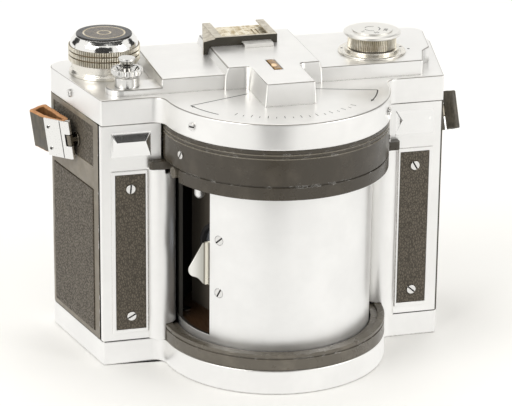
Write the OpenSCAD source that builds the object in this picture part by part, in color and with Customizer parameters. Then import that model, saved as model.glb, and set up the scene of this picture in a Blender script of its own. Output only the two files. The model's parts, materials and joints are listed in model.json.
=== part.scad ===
// Swing-lens panoramic roll-film camera, standing on its base.
// Millimetres. The origin is on the drum axis at the underside of the base.
// X runs to the viewer's right, Y to the rear and Z up.
// An azimuth on the drum is 0 at the front and grows towards +X.

/* [Body] */
// Width across the front face
front_w = 140; // [136:1:156]
// Depth from the front face to the rear face
body_d = 55.5; // [54.5:0.5:62]
// Angle by which each side spreads towards the rear
flare = 12; // [9:0.5:14]
// Radius of the rear upright corners
rear_r = 7.5; // [6.5:0.5:10]
// Height of the base cover
base_h = 10.3; // [9.5:0.1:14]
// Height of the mechanism space above the upper chassis plate
mech_h = 14.2; // [13:0.1:18]
// Sheet thickness of the base cover and the top cover
cover_t = 2; // [1.5:0.1:2.5]
// Thickness of the front panels
panel_t = 2; // [1.5:0.1:2.5]
// Thickness of the side walls and the back door
side_t = 2.5; // [2:0.1:3]
// Thickness of the chassis plates
plate_t = 3; // [2.5:0.1:4]
// Radius of the half-round bulge of the base cover and the top cover
bulge_r = 45.4; // [44.5:0.1:47]
// Radius of the hollow corner where the bulge meets the front face
bulge_fillet = 5; // [3:0.5:7]

/* [Top cover] */
// Height of the cover's skirt, up to the low deck
skirt_h = 10.6; // [9.5:0.1:13]
// Height of the upper deck above the low deck
deck_h = 6; // [4:0.1:7]
// Height of the hump above the upper deck
hump_h = 3.1; // [2:0.1:5]
// Left end of the upper deck
deck_left = 45; // [42:0.5:46]
// Front edge of the upper deck
deck_y = 3.2; // [2.5:0.1:5]
// Distance of the upper deck from the rear face
deck_back = 6.9; // [5:0.1:8]
// Half width of the hump's rear part at its foot
hump_w = 20; // [18:0.1:22]
// Half width of the hump's front block at its foot
block_w = 10.5; // [9:0.1:12]
// How far the front block reaches over the bulge
block_reach = 22.5; // [18:0.5:26]
// Amount by which the hump's sides lean in on each side
hump_lean = 1.4; // [0.5:0.1:2]
// Amount by which the front block's sides lean in on each side
block_lean = 0.8; // [0.3:0.1:1.2]
// Length of the level vial's window
vial_l = 12.5; // [8:0.5:14]
// Width of the level vial's window
vial_w = 2.8; // [2:0.1:4]

/* [Drum] */
// Wall of the drum shell
shell_t = 1.4; // [1:0.1:2]
// Azimuth of the window edge that carries the finger tab
window_edge = -55.6; // [-60:0.1:-50]
// Angle that the lens window spans
window_span = 33.3; // [28:0.1:38]
// Width of the exposing slit
slit_w = 3; // [1.5:0.1:5]
// How far the finger tab stands out of the drum
tab_l = 6.8; // [5:0.1:8]
// Radius of the drum pivots
pivot_r = 4; // [3:0.1:5]
// Radius of the lens barrel
lens_r = 11; // [9:0.1:13]
// Half height of the picture on the film
picture_half = 28; // [24:0.5:29]

/* [Rings and pillars] */
// Outer radius of the black rings above and below the drum
ring_r = 45.2; // [44.8:0.1:45.3]
// Radial depth of the black rings
ring_t = 5.7; // [5.5:0.1:6.2]
// Height of the lower ring
low_ring_h = 6.5; // [5:0.1:8]
// How far the upper ring hangs below the upper chassis plate
ring_drop = 2.8; // [2:0.1:4]
// Radius of the round pillars beside the drum
pillar_r = 6.3; // [5.8:0.1:6.4]
// Distance of the pillars from the middle plane
pillar_x = 46; // [45.8:0.1:47]

/* [Film path] */
// Space between the film and the back door
film_back = 3; // [2:0.1:4]
// Distance of the spool axes from the middle plane
spool_x = 60.5; // [60:0.1:62]
// Space between the spool flanges and the back door
spool_back = 3.5; // [2.5:0.1:4.5]
// Length of a roll-film spool
spool_l = 65.5; // [64:0.1:66]
// Radius of a spool flange
spool_r = 12.5; // [12:0.1:12.8]
// Radius of the film guide rollers
roller_r = 4; // [3:0.1:4.2]

/* [Controls] */
// Radius of the winding knob's knurled band
knob_r = 14.3; // [12:0.1:15]
// Height of the knurled band
knob_knurl_h = 6.2; // [5:0.1:9]
// Height of the polished bevel above the band
knob_bevel_h = 4; // [3:0.1:5]
// Height of the fixed collar under the winding knob
collar_h = 5.2; // [3:0.1:6]
// Distance of the speed dial from the middle plane
dial_x = 45.8; // [42:0.1:47]
// Distance of the speed dial behind the front face
dial_y = 20; // [18.5:0.1:24]
// Radius of the speed dial's cap
dial_r = 11.5; // [9:0.1:12]
// Distance of the release from the middle plane
release_x = 57.5; // [56:0.1:58.5]
// Distance of the release behind the front face
release_y = 9.3; // [9:0.1:10]
// Travel of the release button
release_travel = 3; // [2:0.1:3.5]
// Outer width of the accessory shoe
shoe_w = 25.8; // [22:0.1:27]
// Length of the accessory shoe
shoe_l = 21; // [18:0.1:22]
// Radius of the tripod socket
tripod_r = 3.175; // [2.5:0.025:3.5]

/* [Straps] */
// Height of the strap leather
strap_h = 15.5; // [12:0.1:18]
// Thickness of the strap leather
strap_t = 1.8; // [1.2:0.1:2]
// Lean of the left strap's top away from the body
left_lean = 8; // [0:0.5:10]
// Lean of the right strap's foot away from the body
right_lean = 7; // [0:0.5:8]
// Droop of the right strap's end
right_droop = 20; // [0:1:25]
// Length of the strap loops
strap_l = 21.8; // [19:0.1:23]

/* [Clearances] */
// Radial clearance of a turning or sliding fit
fit = 0.05; // [0.02:0.01:0.1]
// Gap between pieces that only lie beside each other
gap = 0.1; // [0.05:0.05:0.2]
// Gap between pieces that move past each other
swing_gap = 0.3; // [0.2:0.05:0.5]

/* [Hidden] */
$fn = 64;
// How far a cutter runs past the face that it cuts
over = 1;

// Half width of the body at a depth, drawn in by an inset
function half_w(y, inset = 0) = front_w / 2 + y * tan(flare) - inset / cos(flare);

// Heights
spool_play = 4.7;
chamber_h = spool_l + spool_play;
body_h = chamber_h + 2 * plate_t + mech_h;
z_low = base_h + plate_t;
z_up = z_low + chamber_h;
z_mech = z_up + plate_t;
z_wall = base_h + body_h;
z_deck = z_wall + skirt_h;
z_upper = z_deck + deck_h;
z_hump = z_upper + hump_h;
z_lens = (z_low + z_up) / 2;
z_ring = z_up - ring_drop;
z_pillar = z_up - 1;

// Depths
film_r = body_d - side_t - film_back;
spool_y = body_d - side_t - spool_r - spool_back;
deck_rear = body_d - deck_back;

// Rings
ring_in = ring_r - ring_t;
drum_r = ring_in - 2 * swing_gap;
ring_lip_h = 5.4;
ring_groove_h = 0.6;
ring_groove_d = 0.5;
ring_lip_end = 71;
ring_tongue_h = 7;
ring_tongue_t = 2;
ring_back = panel_t;
ear_out = 6.2;
ear_h = 3.4;
ear_t = 3.5;
ear_r = ear_t / 2;
stop_r = 2.3;
stop_az = 77;
pillar_y = 3;

// Front panels
leather_t = 1;
leather_seat = 0.6;
leather_x0 = 52.5;
leather_x1 = front_w / 2 - 5.4;
leather_z0 = base_h + 4.7;
leather_z1 = z_pillar - 2.2;
frame_w = 1.6;
frame_t = 0.5;
badge_x0 = 50;
badge_x1 = front_w / 2 - 3.7;
badge_z0 = z_pillar + 4.8;
badge_z1 = z_wall - 2.7;
badge_t = 1.6;
badge_bevel = 2.4;
badge_drop = 4;

// Sides, measured along the flared face from the front edge
side_len = (body_d - rear_r * (1 + sin(flare))) / cos(flare);
trim_u0 = 8;
trim_u1 = side_len - 1;
trim_z0 = base_h + 2.1;
pocket_z0 = z_wall - 18.7;
trim_z1 = pocket_z0 - 9.5;
pocket_z1 = z_wall - 2.2;
pocket_d = 1;
tongue_h = 8;
tongue_t = 1.6;

// Drum
drum_gap = 2 * swing_gap;
drum_z0 = z_low + drum_gap;
drum_z1 = z_up - drum_gap;
disc_t = 4;
disc_r = drum_r - shell_t - fit;
lens_az = window_edge - window_span / 2;
window_z0 = drum_z0 + disc_t + 0.7;
window_z1 = drum_z1 - disc_t - 0.8;
tab_az = window_edge - 1.4;
tab_tilt = 30;
tab_t = 1;
tab_half = 9;
tab_drop = 2.1;
board_u = 21;
board_t = 2;
barrel_front = 28;
barrel_back = 12;
barrel_wall = 1.6;

// Fasteners
screw_r = 1.2;
head_r = 1.85;
small_head_r = 1.55;
head_h = 0.8;
slot_cut = 0.6;
slot_turns = [-30, -85, -40, -60];

// Gears on the upper plate
gear_m = 1;
drum_teeth = 36;
barrel_teeth = 24;
governor_teeth = 12;
gear_h = 3;
gear_lift = 1;
z_gear = z_mech + gear_lift;
barrel_y = gear_m * (drum_teeth + barrel_teeth) / 2;
governor_d = gear_m * (drum_teeth + governor_teeth) / 2;
governor_az = 113.6;
stud_r = 2.5;

// Back door and its hinge on the right
rear_flat = half_w(body_d - rear_r) - rear_r / cos(flare);
door_inset = 2.5;
door_half = rear_flat - door_inset;
door_gap = 0.6;
hinge_x = door_half + 1.3;
hinge_y = body_d + 1.1;
hinge_r = 2.2;
hinge_pin_r = 1.2;
knuckle_end = 4.7;
knuckle_l = 20;

// Strap fittings, measured in the frame of the side face
lug_u = 23.9;
lug_z = z_wall - 12.1;
lug_out = 2.8;
lug_r = 1;
lug_base_r = 3;
lug_base_h = 0.5;
wire_r = 0.55;
clip_t = 0.6;
clip_l = 11.6;
eye_h = 4.4;
eye_r = wire_r + fit + clip_t;

// Release
boss_h = 2.5;
boss_r = release_y - deck_y;
boss_x = 59.9;
z_boss = z_deck + boss_h;
release_head_r = 3.3;
rod_r = 1.8;
release_collar_h = 7.2;
spring_seat = 1;
z_collar = z_boss + release_collar_h;

// Point on a circle at an azimuth
function on_drum(r, az) = [r * sin(az), -r * cos(az)];

// Mirrors its children to the left for side -1
module on_hand(side) {
    mirror([side < 0 ? 1 : 0, 0, 0]) children();
}

// Frame of a flared side: X points out of the face, Y runs along it to the rear
module on_side(side) {
    on_hand(side) translate([front_w / 2, 0, 0]) rotate(-flare) children();
}

// Frame at an azimuth of the drum: X points away from the axis
module on_azimuth(az, r = 0) {
    rotate(az - 90) translate([r, 0, 0]) children();
}

// Plan of the body, drawn in at the sides and rear by one inset and at the front by another
module body_plan(inset = 0, front = 0) {
    r = rear_r - inset;
    yc = body_d - rear_r;
    xc = half_w(yc) - rear_r / cos(flare);
    polygon([
        [-half_w(front, inset), front], [half_w(front, inset), front],
        [xc + r * cos(flare), yc - r * sin(flare)], [xc, yc + r],
        [-xc, yc + r], [-xc - r * cos(flare), yc - r * sin(flare)]
    ]);
    for (s = [-1, 1]) translate([s * xc, yc]) circle(r);
}

// Plan of the half-round bulge with its hollow corners against the front face
module bulge_plan(inset = 0) {
    r = bulge_r - inset;
    f = bulge_fillet + inset;
    y0 = inset;
    cy = y0 - f;
    cx = sqrt(pow(r + f, 2) - cy * cy);
    share = r / (r + f);
    circle(r);
    for (s = [-1, 1]) difference() {
        polygon([[s * (r - f), y0 + over], [s * cx, y0 + over], [s * cx, cy], [s * cx * share, cy * share]]);
        translate([s * cx, cy]) circle(f);
    }
}

// Ring sector between two azimuths
module arc_wall(r0, r1, z0, h, az0, az1) {
    translate([0, 0, z0]) rotate(az0 - 90) rotate_extrude(angle = az1 - az0)
        translate([r0, 0]) square([r1 - r0, h]);
}

// Slotted screw with its seat at the origin and its head along +Z
module slotted_screw(shank_l, r = head_r, h = head_h) {
    difference() {
        union() {
            cylinder(h = h, r = r);
            translate([0, 0, -shank_l]) cylinder(h = shank_l + h / 2, r = screw_r);
        }
        translate([-r - over, -slot_cut / 2, h / 2]) cube([2 * (r + over), slot_cut, h]);
    }
}

// Clearance hole for such a screw, running down from its seat
module screw_hole(depth) {
    translate([0, 0, -depth]) cylinder(h = depth + over, r = screw_r + fit);
}

// Outline with straight knurls
module knurl_plan(r, count, depth) {
    step = 360 / count;
    polygon([for (i = [0 : count - 1], j = [0, 1]) let (
        rad = r - j * depth, a = (i + j / 2) * step) [rad * cos(a), rad * sin(a)]]);
}

// Outline of a spur gear with straight-sided teeth, a tooth lying on +X
module gear_plan(teeth, turn = 0) {
    step = 360 / teeth;
    pitch_r = gear_m * teeth / 2;
    root_r = pitch_r - 1.15 * gear_m;
    tip_r = pitch_r + 0.85 * gear_m;
    polygon([for (i = [0 : teeth - 1], c = [[-0.3, root_r], [-0.11, tip_r], [0.11, tip_r], [0.3, root_r]])
        let (a = (i + c[0]) * step + turn) [c[1] * cos(a), c[1] * sin(a)]]);
}

// Places of the screws
panel_screw_z = [leather_z0 + 5.8, leather_z1 - 5.8];
panel_screw_x = (leather_x0 + leather_x1) / 2;
cover_screw_u = 29.5;
cover_screw_z = z_wall + 5.3;
cover_screw_az = 60;
ring_screw_az = 69;
ring_screw_z = z_mech + 6;
base_post = [[58, 6.5], [46, body_d - 9]];
base_post_r = 4;
shell_screw_az = window_edge + 6.6;
shell_screw_z = [z_lens - 11, z_lens + 11];
shell_turns = [-28, -48];

module panel_screw_places(side) {
    for (i = [0, 1]) on_hand(side) translate([panel_screw_x, leather_seat - leather_t, panel_screw_z[i]])
        rotate([90, 0, 0]) rotate(slot_turns[side < 0 ? i : i + 2]) children();
}

module cover_screw_places() {
    for (s = [-1, 1]) on_side(s) translate([0, cover_screw_u, cover_screw_z])
        rotate([0, 90, 0]) rotate(slot_turns[s + 1]) children();
    for (s = [-1, 1]) on_azimuth(s * cover_screw_az, bulge_r) translate([0, 0, cover_screw_z])
        rotate([0, 90, 0]) rotate(slot_turns[s + 2]) children();
}

module ring_screw_places() {
    for (s = [-1, 1]) on_azimuth(s * ring_screw_az, ring_r) translate([0, 0, ring_screw_z])
        rotate([0, 90, 0]) rotate(slot_turns[s + 1]) children();
}

module base_screw_places() {
    for (s = [-1, 1], p = base_post) translate([s * p[0], p[1], 0]) children();
}

module shell_screw_places() {
    for (i = [0, 1]) on_azimuth(shell_screw_az, drum_r - head_h) translate([0, 0, shell_screw_z[i]])
        rotate([0, 90, 0]) rotate(shell_turns[i]) children();
}

// Base and chassis

base_seat = 1.6;
bush_r = 6;
bush_h = 6;

module base_cover() {
    color("gainsboro") difference() {
        union() {
            difference() {
                linear_extrude(base_h) union() {
                    body_plan();
                    bulge_plan();
                }
                translate([0, 0, cover_t]) linear_extrude(base_h) union() {
                    body_plan(cover_t, cover_t);
                    bulge_plan(cover_t);
                }
            }
            base_screw_places() cylinder(h = base_h, r = base_post_r);
        }
        translate([0, 0, -over]) cylinder(h = cover_t + 2 * over, r = bush_r + fit);
        base_screw_places() {
            translate([0, 0, base_seat]) mirror([0, 0, 1]) screw_hole(base_h);
            translate([0, 0, -over]) cylinder(h = base_seat + over, r = head_r + gap);
        }
    }
}

module tripod_bush() {
    color("silver") difference() {
        union() {
            cylinder(h = bush_h, r = bush_r);
            translate([0, 0, cover_t]) cylinder(h = bush_h - cover_t, r = bush_r + 2);
        }
        translate([0, 0, -over]) cylinder(h = bush_h + 2 * over, r = tripod_r);
    }
}

module plate_plan() {
    body_plan(side_t + gap, panel_t + gap);
    circle(ring_in - gap);
}

roller_x = pillar_x + 10;
roller_y = pillar_y + 5.5;
axle_r = 1.5;

module axle_holes(r) {
    for (s = [-1, 1]) translate([s * roller_x, roller_y]) circle(r);
}

bearing_r = pivot_r + 2;
bearing_flange = 2;

module lower_plate() {
    color("dimgray") difference() {
        union() {
            translate([0, 0, base_h]) linear_extrude(plate_t) difference() {
                plate_plan();
                circle(bearing_r + fit);
                axle_holes(axle_r + fit);
                for (s = [-1, 1]) translate([s * pillar_x, pillar_y]) circle(pillar_r + gap);
            }
            for (s = [-1, 1]) translate([s * spool_x, spool_y, z_low]) cylinder(h = 7, r = stud_r);
        }
        base_screw_places() cylinder(h = z_low + over, r = screw_r + fit);
    }
}

lug_block = 4;
lug_h = 10;

module upper_plate() {
    color("dimgray") difference() {
        union() {
            translate([0, 0, z_up]) linear_extrude(plate_t) difference() {
                plate_plan();
                circle(bearing_r + fit);
                axle_holes(axle_r + fit);
                translate([-spool_x, spool_y]) circle(shaft_r + fit);
            }
            translate([spool_x, spool_y, z_up - 6]) cylinder(h = 6 + plate_t / 2, r = stud_r);
            translate([0, barrel_y, z_up]) {
                cylinder(h = plate_t + barrel_h + 2 * gear_lift, r = stud_r);
                cylinder(h = plate_t + gear_lift - swing_gap, r = 2 * stud_r);
            }
            on_azimuth(governor_az, governor_d) translate([0, 0, z_up]) {
                cylinder(h = plate_t + governor_h + 2 * gear_lift, r = governor_stud_r);
                cylinder(h = plate_t + gear_lift - swing_gap, r = 2 * governor_stud_r);
            }
            intersection() {
                for (s = [-1, 1]) on_azimuth(s * ring_screw_az, ring_in - gap - lug_block)
                    translate([0, -lug_block, z_up]) cube([2 * lug_block, 2 * lug_block, plate_t + lug_h]);
                translate([0, 0, z_up]) cylinder(h = plate_t + lug_h, r = ring_in - gap);
            }
        }
        ring_screw_places() screw_hole(ring_r - ring_in + gap + lug_block + over);
    }
}

module drum_bearings() {
    color("darkgoldenrod") {
        difference() {
            union() {
                translate([0, 0, base_h]) cylinder(h = plate_t, r = bearing_r);
                translate([0, 0, z_low]) cylinder(h = drum_gap - swing_gap, r = bearing_r + bearing_flange);
            }
            translate([0, 0, base_h - over]) cylinder(h = plate_t + drum_gap + 2 * over, r = pivot_r + fit);
        }
        difference() {
            union() {
                translate([0, 0, z_up]) cylinder(h = plate_t, r = bearing_r);
                translate([0, 0, z_mech]) cylinder(h = gear_lift - swing_gap, r = bearing_r + bearing_flange);
            }
            translate([0, 0, z_up - over]) cylinder(h = plate_t + gear_lift + 2 * over, r = pivot_r + fit);
        }
    }
}

gate_t = 2.4;
gate_half = 78;
gate_window = 66;

module film_gate() {
    color("black") difference() {
        arc_wall(film_r - gate_t, film_r, z_low, chamber_h, 180 - gate_half, 180 + gate_half);
        arc_wall(film_r - gate_t - over, film_r + over, z_lens - picture_half, 2 * picture_half,
            180 - gate_window, 180 + gate_window);
    }
}

// Front

module panel_frustum(x0, x1, z0, z1) {
    intersection() {
        translate([0, 0, z0]) linear_extrude(z1 - z0) polygon([
            [x0, over], [x0, 0], [x0 + badge_bevel, -badge_t],
            [x1 - badge_bevel, -badge_t], [x1, 0], [x1, over]
        ]);
        translate([x0, 0, 0]) rotate([90, 0, 90]) linear_extrude(x1 - x0) polygon([
            [over, z0], [0, z0], [-badge_t, z1 - badge_drop], [0, z1], [over, z1]
        ]);
    }
}

module front_panel(side) {
    frame_x = leather_x1 - leather_x0 + 1.5 * frame_w;
    frame_z = leather_z1 - leather_z0 + 2 * frame_w;
    difference() {
        on_hand(side) {
            translate([0, 0, base_h]) linear_extrude(body_h) polygon([
                [pillar_x, 0], [half_w(0), 0], [half_w(panel_t), panel_t], [pillar_x, panel_t]
            ]);
            translate([pillar_x, pillar_y, base_h]) cylinder(h = z_pillar - base_h, r = pillar_r);
            panel_frustum(badge_x0, badge_x1, badge_z0, badge_z1);
            translate([leather_x0 - frame_w / 2, -frame_t, leather_z0 - frame_w])
                cube([frame_x, frame_t + over, frame_z]);
        }
        translate([0, 0, base_h - over]) cylinder(h = low_ring_h + gap + over, r = ring_r + gap);
        translate([0, 0, z_ring - gap]) cylinder(h = z_wall, r = ring_r + gap);
        on_hand(side) translate([leather_x0, -over - leather_t, leather_z0])
            cube([leather_x1 - leather_x0, leather_t + over + leather_seat, leather_z1 - leather_z0]);
        panel_screw_places(side) screw_hole(panel_t + leather_t);
    }
}

module front_panel_left() {
    color("gainsboro") front_panel(-1);
}

module front_panel_right() {
    color("gainsboro") front_panel(1);
}

module front_leather(side) {
    difference() {
        on_hand(side) translate([leather_x0 + gap, leather_seat - leather_t, leather_z0 + gap])
            cube([leather_x1 - leather_x0 - 2 * gap, leather_t, leather_z1 - leather_z0 - 2 * gap]);
        panel_screw_places(side) screw_hole(panel_t);
    }
}

module front_leather_left() {
    color("#2b2724") front_leather(-1);
}

module front_leather_right() {
    color("#2b2724") front_leather(1);
}

module panel_screws() {
    color("silver") for (s = [-1, 1]) panel_screw_places(s) slotted_screw(panel_t);
}

// Sides

module side_box(side, x0, x1, u0, u1, z0, z1) {
    on_side(side) translate([x0, u0, z0]) cube([x1 - x0, u1 - u0, z1 - z0]);
}

module hinge_cut(z0, z1) {
    translate([hinge_x, hinge_y, z0]) cylinder(h = z1 - z0, r = hinge_r + swing_gap);
}

module knuckle(z0, z1) {
    difference() {
        translate([hinge_x, hinge_y, z0]) cylinder(h = z1 - z0, r = hinge_r);
        translate([hinge_x, hinge_y, z0 - over]) cylinder(h = z1 - z0 + 2 * over, r = hinge_pin_r + fit);
    }
}

hinge_z0 = base_h + knuckle_end;
hinge_z1 = z_wall - knuckle_end;

module side_wall(side) {
    difference() {
        union() {
            translate([0, 0, base_h]) linear_extrude(body_h) difference() {
                body_plan();
                body_plan(side_t, -over);
                translate([-front_w, -over]) square([2 * front_w, panel_t + gap + over]);
                translate([-door_half - door_gap, 0]) square([2 * (door_half + door_gap), body_d + over]);
                translate([side > 0 ? -2 * front_w : 0, 0]) square([2 * front_w, body_d + over]);
            }
            side_box(side, -cover_t - gap - tongue_t, -cover_t - gap, trim_u0 + 6, trim_u1, z_wall - 3,
                z_wall + tongue_h);
        }
        side_box(side, -pocket_d, over, trim_u0, trim_u1, pocket_z0, pocket_z1);
        side_box(side, -leather_seat, over, trim_u0, trim_u1, trim_z0, trim_z1);
        cover_screw_places() screw_hole(3 * cover_t);
        on_side(side) translate([0, lug_u, lug_z]) rotate([0, 90, 0]) translate([0, 0, -side_t - over])
            cylinder(h = side_t + 2 * over, r = lug_r + fit);
    }
}

module side_wall_left() {
    color("#1c1b1a") side_wall(-1);
}

module side_wall_right() {
    color("#1c1b1a") {
        difference() {
            side_wall(1);
            hinge_cut(hinge_z0 - swing_gap, hinge_z1 + swing_gap);
        }
        for (z = [hinge_z0, hinge_z1 - knuckle_l]) {
            knuckle(z, z + knuckle_l);
            hinge_leaf(hinge_x + hinge_pin_r, hinge_x + hinge_r + over, body_d - side_t, z, z + knuckle_l);
        }
    }
}

// Short web that joins a knuckle to the wall or the door beside it
module hinge_leaf(x0, x1, y0, z0, z1) {
    difference() {
        translate([x0, y0, z0]) cube([x1 - x0, hinge_y - y0, z1 - z0]);
        translate([hinge_x, hinge_y, z0 - over]) cylinder(h = z1 - z0 + 2 * over, r = hinge_pin_r + fit);
    }
}

module side_leather(side) {
    side_box(side, -leather_seat, leather_t - leather_seat, trim_u0 + gap, trim_u1 - gap, trim_z0 + gap,
        trim_z1 - gap);
    difference() {
        side_box(side, -pocket_d, leather_t - pocket_d - 0.3, trim_u0 + gap, trim_u1 - gap, pocket_z0 + gap,
            pocket_z1 - gap);
        on_side(side) translate([-pocket_d - over, lug_u, lug_z]) rotate([0, 90, 0])
            cylinder(h = pocket_d + 2 * over, r = lug_base_r + gap);
    }
}

module side_leather_left() {
    color("#2b2724") side_leather(-1);
}

module side_leather_right() {
    color("#2b2724") side_leather(1);
}

// Top cover and what is fixed on it

shaft_r = 3.5;
dial_shaft_r = 2;
deck_step = [[62, 0], [66.4, 13.2], [0, 17.4]];
deck_side = 3.8;
deck_r = 6;

module deck_plan(inset = 0) {
    r = deck_r - inset;
    yc = deck_rear - deck_r;
    xc = half_w(yc, deck_side) - deck_r / cos(flare);
    y2 = deck_y + deck_step[2][1] + inset;
    polygon([
        [-deck_left + inset, deck_y + inset], [deck_step[0][0] - inset, deck_y + inset],
        [deck_step[1][0] - inset, deck_y + deck_step[1][1] + inset / 2], [half_w(y2, deck_side + inset), y2],
        [xc + r * cos(flare), yc - r * sin(flare)], [xc, yc + r], [-deck_left + inset, yc + r]
    ]);
    translate([xc, yc]) circle(r);
}

module lean_bar(half, lean, y0, y1, z0, z1) {
    translate([0, y1, 0]) rotate([90, 0, 0]) linear_extrude(y1 - y0) polygon([
        [-half, z0], [half, z0], [half - lean, z1], [-half + lean, z1]
    ]);
}

// Hollow upright corner between the front block and the hump
module block_corner(side) {
    r = block_fillet;
    x = block_w - block_lean;
    on_hand(side) translate([0, 0, z_deck - over]) linear_extrude(z_hump - z_deck + over) difference() {
        translate([x - r, hump_front - r]) square([2 * r, r + over]);
        translate([x + r, hump_front - r]) circle(r);
    }
}

module boss_plan(inset = 0) {
    translate([-boss_x, release_y]) circle(boss_r - inset);
    translate([-boss_x, deck_y + inset]) square([boss_x - deck_left + over, 2 * (boss_r - inset)]);
}

hump_front = deck_y - 1.2;
block_fillet = 3;

module top_cover() {
    color("gainsboro") difference() {
        union() {
            translate([0, 0, z_wall]) linear_extrude(skirt_h) union() {
                body_plan();
                bulge_plan();
            }
            translate([0, 0, z_deck - over]) linear_extrude(deck_h + over) deck_plan();
            translate([0, 0, z_deck - over]) linear_extrude(boss_h + over) boss_plan();
            lean_bar(hump_w, hump_lean, hump_front, deck_rear, z_upper - over, z_hump);
            translate([-hump_w, hump_front, z_deck - over]) cube([2 * hump_w, deck_y, deck_h + over]);
            lean_bar(block_w, block_lean, -block_reach, deck_y + over, z_deck - over, z_hump);
            for (s = [-1, 1]) block_corner(s);
        }
        translate([0, 0, z_wall - over]) linear_extrude(skirt_h + over - cover_t) union() {
            body_plan(cover_t, cover_t);
            bulge_plan(cover_t);
        }
        translate([0, 0, z_deck - cover_t - over]) linear_extrude(deck_h + over) deck_plan(cover_t);
        lean_bar(hump_w - cover_t, hump_lean, deck_y + cover_t, deck_rear - cover_t, z_deck,
            z_hump - cover_t);
        translate([-spool_x, spool_y, z_wall]) cylinder(h = skirt_h + over, r = shaft_r + fit);
        translate([dial_x, dial_y, z_wall]) cylinder(h = skirt_h + deck_h + over, r = dial_shaft_r + fit);
        translate([-release_x, release_y, z_wall]) cylinder(h = skirt_h + boss_h + over, r = rod_r + fit);
        vial_slot(gap);
        cover_screw_places() screw_hole(3 * cover_t);
    }
}

vial_y = 2;
vial_d = 1.2;
vial_rise = 0.2;

module vial_slot(grow) {
    translate([-vial_w / 2 - grow, vial_y - vial_l / 2 - grow, z_hump - vial_d])
        cube([vial_w + 2 * grow, vial_l + 2 * grow, vial_d + over]);
}

module level_vial() {
    color("goldenrod") intersection() {
        vial_slot(0);
        translate([0, vial_y - vial_l, z_hump - 2 * vial_w + vial_rise]) rotate([-90, 0, 0])
            cylinder(h = 2 * vial_l, r = 2 * vial_w);
    }
}

module case_screws() {
    color("silver") {
        cover_screw_places() slotted_screw(2 * cover_t - 0.4, small_head_r);
        base_screw_places() translate([0, 0, base_seat]) mirror([0, 0, 1])
            slotted_screw(base_h + plate_t - base_seat);
    }
}

shoe_x = -3.7;
shoe_back = 4;
shoe_y0 = body_d - shoe_back - shoe_l;
shoe_wall = 1.5;
shoe_floor = 1;
shoe_slot = 2.1;
shoe_lip = 1.8;
shoe_lip_t = 0.6;
shoe_foot_t = 1.35;
shoe_foot_h = 5.2;
shoe_h = shoe_floor + shoe_slot + shoe_lip_t;
shoe_plate_t = 0.5;
tongue_slot = 0.8;
tongue_x = 0.4;
tongue_w = 11.9;
tongue_reach = 4.8;
tongue_edge = 0.6;

// Skirt from the left rail over the hump's side to the upper deck, narrowing towards the rear
module shoe_skirt() {
    rail = shoe_x - shoe_w / 2;
    foot = -hump_w - gap;
    side = foot - shoe_foot_t;
    top = z_hump + shoe_h - shoe_lip_t;
    y1 = shoe_y0 + shoe_l;
    intersection() {
        translate([0, y1, 0]) rotate([90, 0, 0]) linear_extrude(shoe_l) polygon([
            [rail + over, z_hump], [rail + over, top], [rail, top], [side, z_upper + shoe_foot_h],
            [side, z_upper], [foot, z_upper], [foot + hump_lean, z_hump]
        ]);
        translate([0, 0, z_deck]) linear_extrude(z_hump) polygon([
            [rail + over, shoe_y0], [rail + over, y1], [rail, y1], [side, shoe_y0]
        ]);
    }
}

module tongue_box(grow, y1, h) {
    translate([tongue_x - tongue_w / 2 - grow, shoe_y0 - tongue_reach, z_hump + shoe_floor])
        cube([tongue_w + 2 * grow, y1 + tongue_reach, h]);
}

module accessory_shoe() {
    x0 = shoe_x - shoe_w / 2;
    color("#1a1a1a") difference() {
        union() {
            translate([x0, shoe_y0, z_hump]) cube([shoe_w, shoe_l, shoe_h]);
            shoe_skirt();
        }
        translate([x0 + shoe_wall, shoe_y0 + shoe_wall, z_hump + shoe_floor])
            cube([shoe_w - 2 * shoe_wall, shoe_l, shoe_slot]);
        translate([x0 + shoe_wall + shoe_lip, shoe_y0 + shoe_wall, z_hump + shoe_floor])
            cube([shoe_w - 2 * (shoe_wall + shoe_lip), shoe_l, shoe_h]);
        tongue_box(gap, 2 * shoe_wall, shoe_plate_t + gap);
    }
}

// Spring plate on the floor of the shoe, with a tongue that comes out in front
module shoe_plate() {
    w = shoe_w - 2 * (shoe_wall + gap);
    color("burlywood") difference() {
        union() {
            translate([shoe_x - w / 2, shoe_y0 + shoe_wall + gap, z_hump + shoe_floor])
                cube([w, shoe_l - shoe_wall - 2 * gap, shoe_plate_t]);
            tongue_box(0, 2 * shoe_wall, shoe_plate_t);
            translate([tongue_x - tongue_w / 2, shoe_y0 - tongue_reach, z_hump])
                cube([tongue_w, tongue_edge, shoe_floor + shoe_plate_t]);
        }
        for (x = [w / 4, w / 3]) translate([shoe_x + x, shoe_y0 + shoe_l / 4, z_hump])
            cube([tongue_slot, shoe_l / 2, 2 * shoe_floor]);
    }
}

collar_r = knob_r - 1.2;
collar_foot_r = knob_r - 0.3;
collar_foot_h = 1.2;

module wind_collar() {
    color("silver") translate([-spool_x, spool_y, z_deck]) difference() {
        union() {
            cylinder(h = collar_foot_h, r = collar_foot_r);
            translate([0, 0, collar_foot_h]) cylinder(h = collar_foot_h, r1 = collar_foot_r, r2 = collar_r);
            cylinder(h = collar_h, r = collar_r);
        }
        translate([0, 0, -over]) cylinder(h = collar_h + 2 * over, r = shaft_r + fit);
    }
}

dial_flange_h = 1.9;
dial_plate_h = 0.9;
dial_plate_r = dial_r + 2.2;
dial_ring_r = dial_r - 0.6;
dial_edge = 0.4;

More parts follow.
